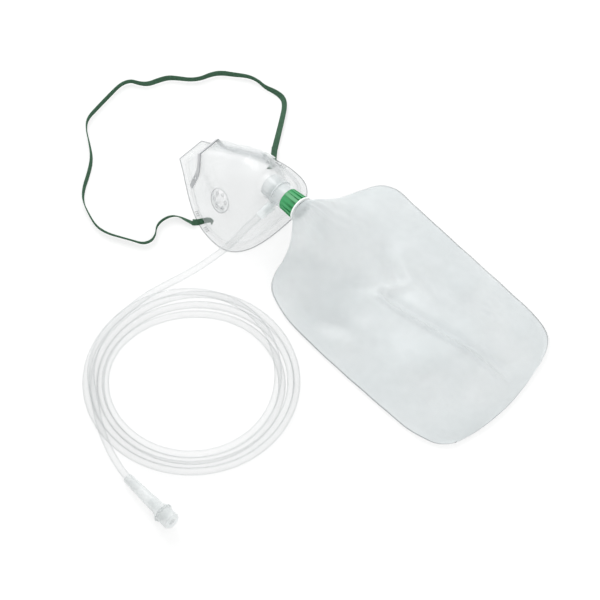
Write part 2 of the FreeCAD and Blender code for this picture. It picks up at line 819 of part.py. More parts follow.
def bag_bush():
    """The white bush on the neck, whose rim shows between the collar and the bag."""
    inner = size("neck_radius")
    outer = inner + size("bush_wall")
    length = size("neck_length")
    end = length + size("bush_rim_thickness")
    body = revolved_body(
        "bag_bush",
        [(inner, 0), (outer, 0), (outer, length), (size("bush_rim_radius"), length),
         (size("bush_rim_radius"), end), (inner, end)],
    )
    return keep(body, "bag_bush", port_placement(num("barrel_length") + num("bush_gap")))


def bag_collar():
    """The green tapered collar with its lengthwise grooves."""
    inner = size("neck_radius") + size("bush_wall")
    length = size("neck_length")
    body = revolved_body(
        "bag_collar",
        [(inner, 0), (size("collar_small_radius"), 0), (size("collar_large_radius"), length),
         (inner, length)],
    )
    sketch = new_sketch(body, "groove_outline", "XY_Plane")
    near = size("collar_small_radius") - size("collar_rib_depth") * 0.6
    far = size("collar_large_radius") + 1
    half = size("collar_rib_width") * 0.5
    corners = [(near, -1), (far, -1), (far, 1), (near, 1)]
    for i in range(4):
        a, sign_a = corners[i]
        b, sign_b = corners[(i + 1) % 4]
        sketch.addGeometry(
            Part.LineSegment(
                Vector(plain(a), sign_a * plain(half), 0), Vector(plain(b), sign_b * plain(half), 0)
            ),
            False,
        )
    for i in range(4):
        sketch.addConstraint(Sketcher.Constraint("Coincident", i, 2, (i + 1) % 4, 1))
    pin_point(sketch, 3, near, half)
    pin_point(sketch, 2, far, half)
    for index in (0, 1):
        across = corners[index][0]
        number = sketch.addConstraint(Sketcher.Constraint("DistanceX", -1, 1, index, 1, plain(across)))
        sketch.setExpression("Constraints[%d]" % number, across.text)
        number = sketch.addConstraint(Sketcher.Constraint("DistanceY", index, 1, -1, 1, plain(half)))
        sketch.setExpression("Constraints[%d]" % number, half.text)
    groove = cut_through(body, sketch, "groove")
    repeat_round(body, groove, "grooves", size("collar_rib_count"))
    return keep(body, "bag_collar", port_placement(num("barrel_length") + num("bush_gap")))


# ---------------------------------------------------------------- tubing


def tubing_cuff():
    """The tapered cuff over the oxygen inlet and the first of the tubing."""
    tube = size("tube_diameter") * 0.5
    inner = size("inlet_radius")
    seat = size("inlet_reach") - size("cuff_start")
    body = revolved_body(
        "tubing_cuff",
        [(inner, 0), (size("cuff_radius"), 0), (tube + 0.2, size("cuff_length")),
         (0, size("cuff_length")), (0, seat + 0.1), (inner, seat + 0.1)],
    )
    start = port_point(num("inlet_station")) + inlet_direction() * num("cuff_start")
    return keep(body, "tubing_cuff", aimed(start, inlet_direction()))


def tube_section(point, direction):
    """The tube's round section, square to its route."""
    return Part.Wire([Part.makeCircle(num("tube_diameter") / 2, point, direction)])


def tubing_run(label, points):
    """One uncoiled stretch of the tubing."""
    area = math.pi * num("tube_diameter") ** 2 / 4
    return swept(label, points, tube_section(points[0], points[1] - points[0]), area)


def tubing_lead():
    """The tubing from the cuff down to the coil."""
    reach = num("cuff_start") + num("cuff_length")
    start = port_point(num("inlet_station")) + inlet_direction() * reach
    straight = start + inlet_direction() * LEAD_STRAIGHT
    return tubing_run("tubing_lead", [start, straight] + [Vector(*p) for p in LEAD_ROUTE])


def tubing_tail():
    """The tubing from the coil to the end connector."""
    return tubing_run("tubing_tail", [Vector(*p) for p in TAIL_ROUTE])


def tubing_coil():
    """The outer shape of the loose coil of spare tubing."""
    inner = size("coil_inner_radius")
    outer = size("coil_outer_radius")
    depth = size("coil_depth")
    bevel = size("tube_diameter") * 0.25
    body = revolved_body(
        "tubing_coil",
        [(inner + bevel, 0), (outer - bevel, 0), (outer, bevel), (outer, depth - bevel),
         (outer - bevel, depth), (inner + bevel, depth), (inner, depth - bevel), (inner, bevel)],
    )
    return keep(body, "tubing_coil", Placement(Vector(num("coil_x"), num("coil_y"), 0), Rotation()))


def outlet_direction():
    """Unit vector of the end connector, away from the tubing."""
    return (Vector(*OUTLET_END) - Vector(*TAIL_ROUTE[-1])).normalize()


def outlet_sleeve():
    """The soft tapered sleeve of the end connector."""
    length = size("outlet_sleeve_length")
    bore_start = length - (size("outlet_bore_length") - size("outlet_socket_length"))
    bore = size("outlet_bore_radius")
    body = revolved_body(
        "outlet_sleeve",
        [(0, 0), (size("outlet_start_radius"), 0), (size("outlet_end_radius"), length - 6),
         (size("outlet_lip_radius") - 0.6, length - 1), (size("outlet_lip_radius"), length),
         (bore, length), (bore, bore_start), (0, bore_start)],
    )
    return keep(body, "outlet_sleeve", aimed(Vector(*TAIL_ROUTE[-1]), outlet_direction()))


def outlet_socket():
    """The ribbed socket that pushes over a barbed oxygen outlet."""
    bore = size("outlet_bore_radius")
    radius = size("outlet_socket_radius")
    length = size("outlet_socket_length")
    ring = size("outlet_ring")
    edge = size("outlet_edge")
    body = revolved_body(
        "outlet_socket",
        [(bore, 0), (radius + ring, 0), (radius + ring, edge * 2), (radius, edge * 2 + ring * 0.6),
         (radius, length - edge), (radius - edge, length), (bore, length)],
    )
    notch = cut_through(
        body,
        circle_sketch(body, "rib_gap", size("outlet_rib_gap_radius"), radius + size("outlet_ring")),
        "rib_gap_cut",
    )
    repeat_round(body, notch, "rib_gaps", size("outlet_rib_count"))
    place = aimed(
        Vector(*TAIL_ROUTE[-1]) + outlet_direction() * num("outlet_sleeve_length"), outlet_direction()
    )
    return keep(body, "outlet_socket", place)


# ---------------------------------------------------------------- reservoir bag


def bag_outline(inset, height):
    """The bag's plan at one height: rounded shoulders and corners, and a swollen bottom edge."""
    start = num("bag_start_x") + inset
    end = num("bag_end_x") - num("bag_swell") - inset
    half = num("bag_width") / 2 - inset
    shoulder = max(num("bag_shoulder_radius") - inset, 3.0)
    corner = max(num("bag_corner_radius") - inset, 3.0)
    low = 1 - math.sqrt(0.5)

    def at(x, y):
        return Vector(x, y, height)

    edges = [
        Part.LineSegment(at(start + shoulder, -half), at(end - corner, -half)),
        Part.Arc(
            at(end - corner, -half), at(end - corner * low, -half + corner * low), at(end, -half + corner)
        ),
        Part.Arc(at(end, -half + corner), at(end + num("bag_swell"), 0), at(end, half - corner)),
        Part.Arc(
            at(end, half - corner), at(end - corner * low, half - corner * low), at(end - corner, half)
        ),
        Part.LineSegment(at(end - corner, half), at(start + shoulder, half)),
        Part.Arc(
            at(start + shoulder, half),
            at(start + shoulder * low, half - shoulder * low),
            at(start, half - shoulder),
        ),
        Part.LineSegment(at(start, half - shoulder), at(start, -half + shoulder)),
        Part.Arc(
            at(start, -half + shoulder),
            at(start + shoulder * low, -half + shoulder * low),
            at(start + shoulder, -half),
        ),
    ]
    return Part.Wire([e.toShape() for e in edges])


def stacked(levels, thin):
    """A solid through outlines at (inset, height) levels, thinned by thin all round."""
    shape = None
    for (low_inset, low), (high_inset, high) in zip(levels, levels[1:]):
        step = lofted([bag_outline(low_inset + thin, low), bag_outline(high_inset + thin, high)], True)
        shape = step if shape is None else shape.fuse(step)
    return shape


def neck_section(centre, pitch, half_across, half_high):
    """One oval section of the gathered neck, its normal pitched up by pitch degrees."""
    tilt = math.radians(pitch)
    above = Vector(-math.sin(tilt), 0, math.cos(tilt))
    count = 24
    points = []
    for i in range(count):
        turn = 2 * math.pi * i / count
        aside = Vector(0, half_across * math.cos(turn), 0)
        points.append(centre + aside + above * (half_high * math.sin(turn)))
    return Part.makePolygon(points + points[:1])


def mouth_station():
    """Where the bag's mouth starts, from the port's mouth."""
    bush = num("barrel_length") + num("bush_gap") + num("neck_length") + num("bush_rim_thickness")
    return bush + num("soft_gap")


def bag_neck(thin):
    """The gathered neck that falls from the bush to the flat of the bag."""
    start = port_point(mouth_station())
    radius = num("bush_rim_radius") - num("neck_tuck")
    drop = start.z - num("bag_depth") / 2
    half = num("bag_width") / 2
    lean = num("mask_centre_y")
    sections = [
        neck_section(start, num("port_pitch"), radius - thin, radius - 0.1 - thin),
        neck_section(
            start + Vector(15, -0.12 * lean, -0.16 * drop), -28, 0.34 * half - thin, radius * 1.05 - thin
        ),
        neck_section(
            start + Vector(34, -0.45 * lean, -0.52 * drop), -44, 0.62 * half - thin, radius * 1.0 - thin
        ),
        neck_section(start + Vector(66, -lean, -drop), 0, 0.86 * half - thin, 0.4 * num("bag_depth") - thin),
    ]
    return lofted(sections, True)


def bag_films():
    """The two welded films of the reservoir bag, the upper one with the gathered neck."""
    weld = num("bag_weld_height")
    film = num("bag_film")
    depth = num("bag_depth")
    rim = num("bag_weld_width")
    slope = rim + num("bag_slope_inset")
    crown = rim + num("bag_crown_inset")
    shoulder = 0.62 * depth
    upper_levels = [(0, weld), (rim, weld + film), (slope, shoulder), (crown, depth)]
    lower_levels = [(0, weld), (rim, weld - film), (slope, 0)]
    inner_levels = [(rim, weld), (slope, shoulder - film), (crown, depth - film)]
    pillow = stacked(upper_levels, 0)
    pillow_film = pillow.cut(stacked(inner_levels, film)).cut(bag_neck(film))
    neck_film = bag_neck(0).cut(bag_neck(film)).cut(pillow)
    below = Part.makeBox(600, 600, 100, Vector(-300, -300, weld - 100))
    mouth_radius = num("bush_rim_radius") - num("neck_tuck") - num("bag_film")
    opening = solid_cylinder(port_point(mouth_station() - 1), port_direction(), mouth_radius, 3)
    upper = pillow_film.fuse(neck_film).cut(below).cut(opening)
    lower = stacked(lower_levels, 0).cut(stacked([(rim, weld), (slope, film)], film))
    for label, shape in (("bag_upper_film", upper), ("bag_lower_film", lower)):
        thing = doc.addObject("Part::Feature", label)
        thing.Shape = largest_solid(shape)
        keep(thing, label)


# ---------------------------------------------------------------- head strap


def strap_points():
    """The strap's middle line, at one height over the surface."""
    return [Vector(x, y, num("strap_height")) for x, y in STRAP_ROUTE]


def head_strap():
    """The elastic strap, standing on its edge."""
    points = strap_points()
    along = (points[1] - points[0]).normalize()
    across = Vector(-along.y, along.x, 0) * (num("strap_thickness") / 2)
    up = Vector(0, 0, num("strap_width") / 2)
    start = points[0]
    corners = [start - across - up, start + across - up, start + across + up, start - across + up]
    section = Part.makePolygon(corners + corners[:1])
    area = num("strap_thickness") * num("strap_width")
    return swept("head_strap", points, section, area)


def strap_end(label, side, anchor, toward):
    """The strap's end: over the rim, down through the slot, and its loose tail on the rim."""
    slot = slot_centre(side)
    thick = num("strap_thickness")
    low = num("flange_thickness") + 0.2
    high = num("strap_height") + num("strap_width") / 2
    run = anchor - Vector(slot.x, slot.y, anchor.z)
    turn = math.degrees(math.atan2(run.y, run.x))
    plate = Part.makeBox(run.Length, thick, high - low, Vector(0, -thick / 2, low))
    plate.Placement = Placement(Vector(slot.x, slot.y, 0), Rotation(Vector(0, 0, 1), turn))
    peg = Part.makeBox(4.6, thick, low + 0.6, Vector(-2.3, -thick / 2, 0.05))
    peg.Placement = Placement(slot, Rotation(Vector(0, 0, 1), slot_turn(side)))
    tail = Part.makeBox(7, 4.0, thick, Vector(-1, -2.0, low))
    tail_turn = math.degrees(math.atan2(toward.y, toward.x))
    tail.Placement = Placement(Vector(slot.x, slot.y, 0), Rotation(Vector(0, 0, 1), tail_turn))
    thing = doc.addObject("Part::Feature", label)
    thing.Shape = plate.fuse(peg).fuse(tail).removeSplitter()
    return keep(thing, label)


def build():
    """Builds every sub-part."""
    mask_shell()
    nose_clip()
    exhalation_valve()
    connector_body()
    valve_seat()
    inspiratory_valve()
    bag_bush()
    bag_collar()
    tubing_cuff()
    tubing_lead()
    tubing_coil()
    tubing_tail()
    outlet_sleeve()
    outlet_socket()
    bag_films()
    head_strap()
    route = strap_points()
    strap_end("strap_end_near", -1, route[0], Vector(0.75, 0.65, 0))
    strap_end("strap_end_far", 1, route[-1], Vector(0.75, -0.65, 0))


def check():
    """Stops if any object failed or any sub-part isn't one valid solid."""
    doc.recompute()
    for thing in doc.Objects:
        if "Invalid" in thing.State or "Error" in thing.State:
            raise RuntimeError("%s failed: %s" % (thing.Label, thing.State))
    for thing in nodes:
        shape = thing.Shape
        if shape.isNull() or not shape.isValid() or len(shape.Solids) != 1:
            raise RuntimeError("%s isn't one valid solid (%d)" % (thing.Label, len(shape.Solids)))


def write():
    """Writes one STEP file for each sub-part."""
    os.makedirs("parts", exist_ok=True)
    for thing in nodes:
        thing.Shape.exportStep(os.path.join("parts", thing.Label + ".step"))
        box = thing.Shape.BoundBox
        print("%-18s x %.1f %.1f  y %.1f %.1f  z %.1f %.1f  volume %.1f" % (
            thing.Label, box.XMin, box.XMax, box.YMin, box.YMax, box.ZMin, box.ZMax, thing.Shape.Volume))


build()
check()
write()
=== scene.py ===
"""Looks of a high-concentration oxygen mask with its reservoir bag, coiled tubing and head strap.

Lengths in the tables and dataclasses are in millimetres: X runs from the nose of the mask to the
foot of the bag, and Z up from the floor. Meshes and cords are made in metres.
"""

import logging
import math
from dataclasses import dataclass
from enum import Enum
from typing import Sequence

import bmesh
import bpy
from mathutils import Matrix, Vector, noise


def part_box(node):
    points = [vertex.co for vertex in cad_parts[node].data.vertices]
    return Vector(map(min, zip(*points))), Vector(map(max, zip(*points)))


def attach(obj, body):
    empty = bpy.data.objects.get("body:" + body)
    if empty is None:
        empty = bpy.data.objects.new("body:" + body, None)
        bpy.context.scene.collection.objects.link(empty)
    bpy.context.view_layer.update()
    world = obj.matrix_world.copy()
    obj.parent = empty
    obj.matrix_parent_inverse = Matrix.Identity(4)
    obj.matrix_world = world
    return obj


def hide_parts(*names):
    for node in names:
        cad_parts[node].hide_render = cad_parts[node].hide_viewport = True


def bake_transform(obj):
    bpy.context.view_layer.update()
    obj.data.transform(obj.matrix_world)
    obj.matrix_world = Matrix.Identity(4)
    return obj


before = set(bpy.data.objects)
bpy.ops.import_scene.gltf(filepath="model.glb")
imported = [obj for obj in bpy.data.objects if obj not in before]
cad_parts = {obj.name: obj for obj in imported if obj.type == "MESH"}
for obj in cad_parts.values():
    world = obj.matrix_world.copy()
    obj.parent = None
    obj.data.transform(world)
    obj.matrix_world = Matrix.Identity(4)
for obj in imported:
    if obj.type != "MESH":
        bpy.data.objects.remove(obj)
LOG = logging.getLogger("oxygen_mask")
MM = 0.001
TAU = 2 * math.pi
Point = tuple[float, float, float]
Colour = tuple[float, float, float]


class Body(Enum):
    """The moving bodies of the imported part."""

    CIRCUIT = "circuit"
    MASK = "mask"
    BAG = "bag"


class Slot(Enum):
    """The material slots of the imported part."""

    CLEAR = "clear_pvc"
    METAL = "aluminium_strip"
    SILICONE = "silicone"
    CONNECTOR = "connector_plastic"
    WHITE = "white_plastic"
    GREEN = "green_plastic"
    TUBING = "tubing_pvc"
    FROSTED = "frosted_pvc"
    FILM = "bag_film"
    ELASTIC = "elastic_strap"


def vec(point: Sequence[float]) -> Vector:
    """A point given in millimetres, in metres."""
    return Vector(point) * MM


def smooth(share: float) -> float:
    """A smooth step from 0 to 1, read at a share that is held to 0..1."""
    held = min(max(share, 0.0), 1.0)
    return held * held * (3 - 2 * held)


def along(stations: Sequence[Sequence[float]], at: float) -> list[float]:
    """Values read from a table of stations, eased between them.

    Args:
        stations: rows whose first value is the station and whose others are the values there.
        at: the station to read.

    Returns:
        The values at that station, by a Catmull-Rom curve through the rows.
    """
    if at <= stations[0][0]:
        return list(stations[0][1:])
    if at >= stations[-1][0]:
        return list(stations[-1][1:])
    last = len(stations) - 1
    i = max(k for k in range(last) if stations[k][0] <= at)
    here, there = stations[i], stations[i + 1]
    before, after = stations[max(i - 1, 0)], stations[min(i + 2, last)]
    gap = there[0] - here[0]
    t = (at - here[0]) / gap
    values = []
    for k in range(1, len(here)):
        lead_in = (there[k] - before[k]) / max(there[0] - before[0], 1e-9) * gap
        lead_out = (after[k] - here[k]) / max(after[0] - here[0], 1e-9) * gap
        values.append(
            (2 * t**3 - 3 * t**2 + 1) * here[k]
            + (t**3 - 2 * t**2 + t) * lead_in
            + (-2 * t**3 + 3 * t**2) * there[k]
            + (t**3 - t**2) * lead_out
        )
    return values


# ---------------------------------------------------------------------------------------------
# finishes


class Shader:
    """A material's node tree while it is built."""

    def __init__(self, name: str) -> None:
        """Starts an empty tree.

        Args:
            name: the material's name.
        """
        self.material = bpy.data.materials.new(name)
        self.material.use_nodes = True
        self.tree = self.material.node_tree
        self.tree.nodes.clear()
        self.output = self.add("ShaderNodeOutputMaterial")

    def add(self, kind: str, **settings) -> bpy.types.Node:
        """Adds a node.

        Args:
            kind: the node's type.
            **settings: the node's own settings.

        Returns:
            The new node.
        """
        node = self.tree.nodes.new(kind)
        for key, value in settings.items():
            setattr(node, key, value)
        return node

    def join(self, start: bpy.types.NodeSocket, end: bpy.types.NodeSocket) -> None:
        """Links an output socket to an input socket."""
        self.tree.links.new(start, end)

    def effect(self, group: bpy.types.NodeTree, **values: float) -> bpy.types.Node:
        """Adds a shared effect that reads the object's own coordinates.

        Args:
            group: the effect's node group.
            **values: its settings by socket name.

        Returns:
            The group node.
        """
        node = self.add("ShaderNodeGroup", node_tree=group)
        place = self.add("ShaderNodeTexCoord")
        self.join(place.outputs["Object"], node.inputs["Vector"])
        for key, value in values.items():
            node.inputs[key].default_value = value
        return node


def new_group(name: str, inputs: Sequence[tuple], outputs: Sequence[tuple]) -> tuple:
    """Starts a shared node group.

    Args:
        name: the group's name.
        inputs: name, socket type and default of each input.
        outputs: name and socket type of each output.

    Returns:
        The tree and its input and output nodes.
    """
    tree = bpy.data.node_groups.new(name, "ShaderNodeTree")
    for title, kind, default in inputs:
        socket = tree.interface.new_socket(name=title, in_out="INPUT", socket_type=kind)
        if default is not None:
            socket.default_value = default
    for title, kind in outputs:
        tree.interface.new_socket(name=title, in_out="OUTPUT", socket_type=kind)
    return tree, tree.nodes.new("NodeGroupInput"), tree.nodes.new("NodeGroupOutput")


def mottle_group() -> bpy.types.NodeTree:
    """A soft uneven value, and a surface that ripples with it.

    Returns:
        The group: Vector, Scale, Low, High and Depth in; Value and Normal out.
    """
    tree, inside, outside = new_group(
        "soft_mottle",
        [
            ("Vector", "NodeSocketVector", None),
            ("Scale", "NodeSocketFloat", 60.0),
            ("Low", "NodeSocketFloat", 0.0),
            ("High", "NodeSocketFloat", 1.0),
            ("Depth", "NodeSocketFloat", 0.0001),
        ],
        [("Value", "NodeSocketFloat"), ("Normal", "NodeSocketVector")],
    )
    cloud = tree.nodes.new("ShaderNodeTexNoise")
    cloud.inputs["Detail"].default_value = 3.0
    spread = tree.nodes.new("ShaderNodeMapRange")
    spread.inputs["From Min"].default_value = 0.3
    spread.inputs["From Max"].default_value = 0.7
    bump = tree.nodes.new("ShaderNodeBump")
    bump.inputs["Strength"].default_value = 1.0
    for start, end in (
        (inside.outputs["Vector"], cloud.inputs["Vector"]),
        (inside.outputs["Scale"], cloud.inputs["Scale"]),
        (cloud.outputs["Fac"], spread.inputs["Value"]),
        (inside.outputs["Low"], spread.inputs["To Min"]),
        (inside.outputs["High"], spread.inputs["To Max"]),
        (spread.outputs["Result"], outside.inputs["Value"]),
        (cloud.outputs["Fac"], bump.inputs["Height"]),
        (inside.outputs["Depth"], bump.inputs["Distance"]),
        (bump.outputs["Normal"], outside.inputs["Normal"]),
    ):
        tree.links.new(start, end)
    return tree


def brushed_group() -> bpy.types.NodeTree:
    """Fine streaks along one direction, as on rolled strip.

    Returns:
        The group: Vector and Scale in; Value and Normal out.
    """
    tree, inside, outside = new_group(
        "rolled_streaks",
        [("Vector", "NodeSocketVector", None), ("Scale", "NodeSocketFloat", 400.0)],
        [("Value", "NodeSocketFloat"), ("Normal", "NodeSocketVector")],
    )
    stretch = tree.nodes.new("ShaderNodeMapping")
    stretch.inputs["Scale"].default_value = (3.0, 0.12, 0.12)
    cloud = tree.nodes.new("ShaderNodeTexNoise")
    bump = tree.nodes.new("ShaderNodeBump")
    bump.inputs["Distance"].default_value = 0.00003
    for start, end in (
        (inside.outputs["Vector"], stretch.inputs["Vector"]),
        (stretch.outputs["Vector"], cloud.inputs["Vector"]),
        (inside.outputs["Scale"], cloud.inputs["Scale"]),
        (cloud.outputs["Fac"], outside.inputs["Value"]),
        (cloud.outputs["Fac"], bump.inputs["Height"]),
        (bump.outputs["Normal"], outside.inputs["Normal"]),
    ):
        tree.links.new(start, end)
    return tree


@dataclass(frozen=True)
class SeeThrough:
    """A clear or frosted plastic: nearly clear face on, and denser towards its edges.

    Args:
        name: the material's name.
        tint: colour of the plastic where it is dense.
        face: how dense it looks face on, 0..1.
        rim: how dense it looks at a glancing angle, 0..1.
        turn: how late the density rises towards the edge.
        roughness: roughness of the surface.
        scale: size of the unevenness, in waves per metre.
        depth: depth of the unevenness, in metres.
        cloud: how much the density varies from place to place, in broad patches that are painted shade
            standing in for the shading of slack film.
    """

    name: str
    tint: Colour
    face: float
    rim: float
    turn: float = 2.0
    roughness: float = 0.15
    scale: float = 60.0
    depth: float = 0.00005
    cloud: float = 0.0

    def material(self) -> bpy.types.Material:
        """Builds the material.

        Returns:
            The new material.
        """
        made = Shader(self.name)
        uneven = made.effect(
            bpy.data.node_groups["soft_mottle"],
            Scale=self.scale,
            Low=max(self.roughness - 0.05, 0.02),
            High=self.roughness + 0.08,
            Depth=self.depth,
        )
        plastic = made.add("ShaderNodeBsdfPrincipled")
        plastic.inputs["Base Color"].default_value = (*self.tint, 1)
        plastic.inputs["IOR"].default_value = 1.45
        made.join(uneven.outputs["Value"], plastic.inputs["Roughness"])
        made.join(uneven.outputs["Normal"], plastic.inputs["Normal"])
        clear = made.add("ShaderNodeBsdfTransparent")
        angle = made.add("ShaderNodeLayerWeight")
        angle.inputs["Blend"].default_value = 0.5
        rise = made.add("ShaderNodeMath", operation="POWER")
        rise.inputs[1].default_value = self.turn
        density = made.add("ShaderNodeMath", operation="MULTIPLY_ADD", use_clamp=True)
        density.inputs[1].default_value = self.rim - self.face
        density.inputs[2].default_value = self.face
        # broad patches of denser and clearer film: painted shade for the soft shading of the bag's slack
        # film
        if self.cloud > 0:
            painted_shade_patches = made.effect(
                bpy.data.node_groups["soft_mottle"],
                Scale=self.scale * 0.6,
                Low=self.face - self.cloud,
                High=self.face + self.cloud,
            )
            made.join(painted_shade_patches.outputs["Value"], density.inputs[2])
        mix = made.add("ShaderNodeMixShader")
        made.join(angle.outputs["Facing"], rise.inputs[0])
        made.join(rise.outputs[0], density.inputs[0])
        made.join(density.outputs[0], mix.inputs["Fac"])
        made.join(clear.outputs[0], mix.inputs[1])
        made.join(plastic.outputs[0], mix.inputs[2])
        made.join(mix.outputs[0], made.output.inputs["Surface"])
        return made.material


@dataclass(frozen=True)
class Opaque:
    """A solid finish with a slightly uneven colour and surface.

    Args:
        name: the material's name.
        light: the lighter colour.
        dark: the darker colour.
        roughness: roughness of the surface.
        scale: size of the unevenness, in waves per metre.
        depth: depth of the unevenness, in metres.
        metallic: 1 for metal.
        effect: the name of the shared effect that it takes its unevenness from.
    """

    name: str
    light: Colour
    dark: Colour
    roughness: float = 0.4
    scale: float = 200.0
    depth: float = 0.00004
    metallic: float = 0.0
    effect: str = "soft_mottle"

    def material(self) -> bpy.types.Material:
        """Builds the material.

        Returns:
            The new material.
        """
        made = Shader(self.name)
        group = bpy.data.node_groups[self.effect]
        if self.effect == "soft_mottle":
            uneven = made.effect(group, Scale=self.scale, Depth=self.depth)
        else:
            uneven = made.effect(group, Scale=self.scale)
        blend = made.add("ShaderNodeMix", data_type="RGBA")
        blend.inputs["A"].default_value = (*self.dark, 1)
        blend.inputs["B"].default_value = (*self.light, 1)
        solid = made.add("ShaderNodeBsdfPrincipled")
        solid.inputs["Roughness"].default_value = self.roughness
        solid.inputs["Metallic"].default_value = self.metallic
        made.join(uneven.outputs["Value"], blend.inputs["Factor"])
        made.join(blend.outputs["Result"], solid.inputs["Base Color"])
        made.join(uneven.outputs["Normal"], solid.inputs["Normal"])
        made.join(solid.outputs[0], made.output.inputs["Surface"])
        return made.material


FINISHES = {
    Slot.CLEAR: SeeThrough("clear_pvc", (0.60, 0.63, 0.635), 0.185, 0.36, 2.6, 0.12),
    Slot.CONNECTOR: SeeThrough("connector_plastic", (0.80, 0.84, 0.845), 0.40, 0.68, 2.2, 0.2),
    Slot.TUBING: SeeThrough("tubing_pvc", (0.50, 0.53, 0.53), 0.080, 0.72, 1.8, 0.12),
    Slot.FROSTED: SeeThrough("frosted_pvc", (0.74, 0.77, 0.77), 0.46, 0.90, 1.8, 0.35),
    # the bag film's last value, 0.20, sets its patches of painted shade
    Slot.FILM: SeeThrough("bag_film", (0.672, 0.712, 0.720), 0.54, 0.76, 1.9, 0.34, 24.0, 0.0005, 0.20),
    Slot.SILICONE: SeeThrough("silicone", (0.66, 0.70, 0.70), 0.30, 0.70, 2.0, 0.4),
    Slot.METAL: Opaque(
        "aluminium_strip", (0.56, 0.57, 0.58), (0.40, 0.41, 0.42), 0.42, 400.0, 0.0, 0.8, "rolled_streaks"
    ),
    Slot.WHITE: Opaque("white_plastic", (0.86, 0.88, 0.87), (0.80, 0.83, 0.82), 0.35),
    Slot.GREEN: Opaque("green_plastic", (0.042, 0.33, 0.115), (0.026, 0.25, 0.080), 0.42, 120.0),
    Slot.ELASTIC: Opaque(
        "elastic_strap", (0.050, 0.140, 0.075), (0.014, 0.050, 0.027), 0.85, 1400.0, 0.00025
    ),
}

# thin moulded edges of the clear plastic in a dark grey: painted shade for the dark lines that refraction
# draws along edges, and painted shadow in the vent holes
PAINTED_EDGE_SHADE = SeeThrough("moulded_edge_painted_shade", (0.24, 0.26, 0.27), 0.32, 0.70, 1.4, 0.15)

CAD_FINISHES = {
    "mask_shell": Slot.CLEAR,
    "nose_clip": Slot.METAL,
    "exhalation_flap": Slot.SILICONE,
    "exhalation_stud": Slot.WHITE,
    "connector_body": Slot.CONNECTOR,
    "valve_seat": Slot.WHITE,
    "inspiratory_disc": Slot.SILICONE,
    "inspiratory_stud": Slot.WHITE,
    "bag_bush": Slot.WHITE,
    "bag_collar": Slot.GREEN,
    "tubing_cuff": Slot.CONNECTOR,
    "tubing_lead": Slot.TUBING,
    "tubing_coil": Slot.TUBING,
    "tubing_tail": Slot.TUBING,
    "outlet_sleeve": Slot.FROSTED,
    "outlet_socket": Slot.FROSTED,
    "bag_upper_film": Slot.FILM,
    "bag_lower_film": Slot.FILM,
    "head_strap": Slot.ELASTIC,
    "strap_end_near": Slot.ELASTIC,
    "strap_end_far": Slot.ELASTIC,
}


class Paint:
    """The finishes as materials, made once and handed out by slot."""

    def __init__(self) -> None:
        """Makes the shared effects and every material."""
        mottle_group()
        brushed_group()
        self.by_slot = {slot: finish.material() for slot, finish in FINISHES.items()}
        # the darker grey of fine edges: painted shade for their refraction lines and painted shadow in
        # the vent holes
        self.edge = PAINTED_EDGE_SHADE.material()

    def dress(self, piece: bpy.types.Object, slot: Slot) -> bpy.types.Object:
        """Gives a piece its finish.

        Args:
            piece: a mesh or curve object.
            slot: the finish.

        Returns:
            The same piece.
        """
        piece.data.materials.clear()
        piece.data.materials.append(self.by_slot[slot])
        return piece

    def dress_shaded_edge(self, piece: bpy.types.Object) -> bpy.types.Object:
        """Gives a fine moulded edge of the clear plastic its darker grey, painted shade for the dark line
        that refraction draws along it.

        Args:
            piece: a mesh object.

        Returns:
            The same piece.
        """
        self.dress(piece, Slot.CLEAR)
        piece.data.materials.clear()
        piece.data.materials.append(self.edge)
        return piece

    def dress_frame(self) -> None:
        """Gives every CAD node its finish."""
        for name, slot in CAD_FINISHES.items():
            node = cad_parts[name]
            node.data.materials.clear()
            node.data.materials.append(self.by_slot[slot])
            LOG.info("node %s: %s", name, slot.value)


# ---------------------------------------------------------------------------------------------
# making pieces


def add_object(name: str, data: bpy.types.ID) -> bpy.types.Object:
    """Puts new data in the scene.

    Args:
        name: the object's name.
        data: its mesh or curve.

    Returns:
        The new object, at the origin.
    """
    piece = bpy.data.objects.new(name, data)
    bpy.context.scene.collection.objects.link(piece)
    return piece


def add_mesh(name: str, shape: bmesh.types.BMesh, rounded: bool = True) -> bpy.types.Object:
    """Turns a finished bmesh into an object.

    Args:
        name: the object's name.
        shape: the bmesh, which is freed.
        rounded: whether faces are shaded smooth.

    Returns:
        The new object.
    """
    bmesh.ops.recalc_face_normals(shape, faces=shape.faces)
    for face in shape.faces:
        face.smooth = rounded
    mesh = bpy.data.meshes.new(name)
    shape.to_mesh(mesh)
    shape.free()
    return add_object(name, mesh)


def route_curve(
    name: str, points: Sequence[Point], width: float = 0.0, closed: bool = False
) -> bpy.types.Object:
    """A NURBS line through control points.

    Args:
        name: the object's name.
        points: the control points in millimetres.
        width: the tube's diameter in millimetres, or 0 for a bare line.
        closed: whether the line is a loop.

    Returns:
        The curve object.
    """
    data = bpy.data.curves.new(name, "CURVE")
    data.dimensions = "3D"
    data.resolution_u = 6
    data.bevel_depth = width / 2 * MM
    data.bevel_resolution = 5
    data.use_fill_caps = width > 0 and not closed
    data.twist_mode = "Z_UP"
    spline = data.splines.new("NURBS")
    spline.points.add(len(points) - 1)
    for slot, point in zip(spline.points, points):
        slot.co = (*vec(point), 1)
    spline.use_cyclic_u = closed
    spline.order_u = 3
    spline.use_endpoint_u = not closed
    spline.use_smooth = True
    return add_object(name, data)


def mesh_of(curve: bpy.types.Object, name: str) -> bpy.types.Object:
    """Turns a curve object into a mesh object and removes the curve.

    Args:
        curve: the curve object.
        name: the new object's name.

    Returns:
        The mesh object.
    """
    bpy.context.view_layer.update()
    seen = curve.evaluated_get(bpy.context.evaluated_depsgraph_get())
    mesh = bpy.data.meshes.new_from_object(seen)
    bpy.data.objects.remove(curve)
    piece = add_object(name, mesh)
    for face in mesh.polygons:
        face.use_smooth = True
    return piece


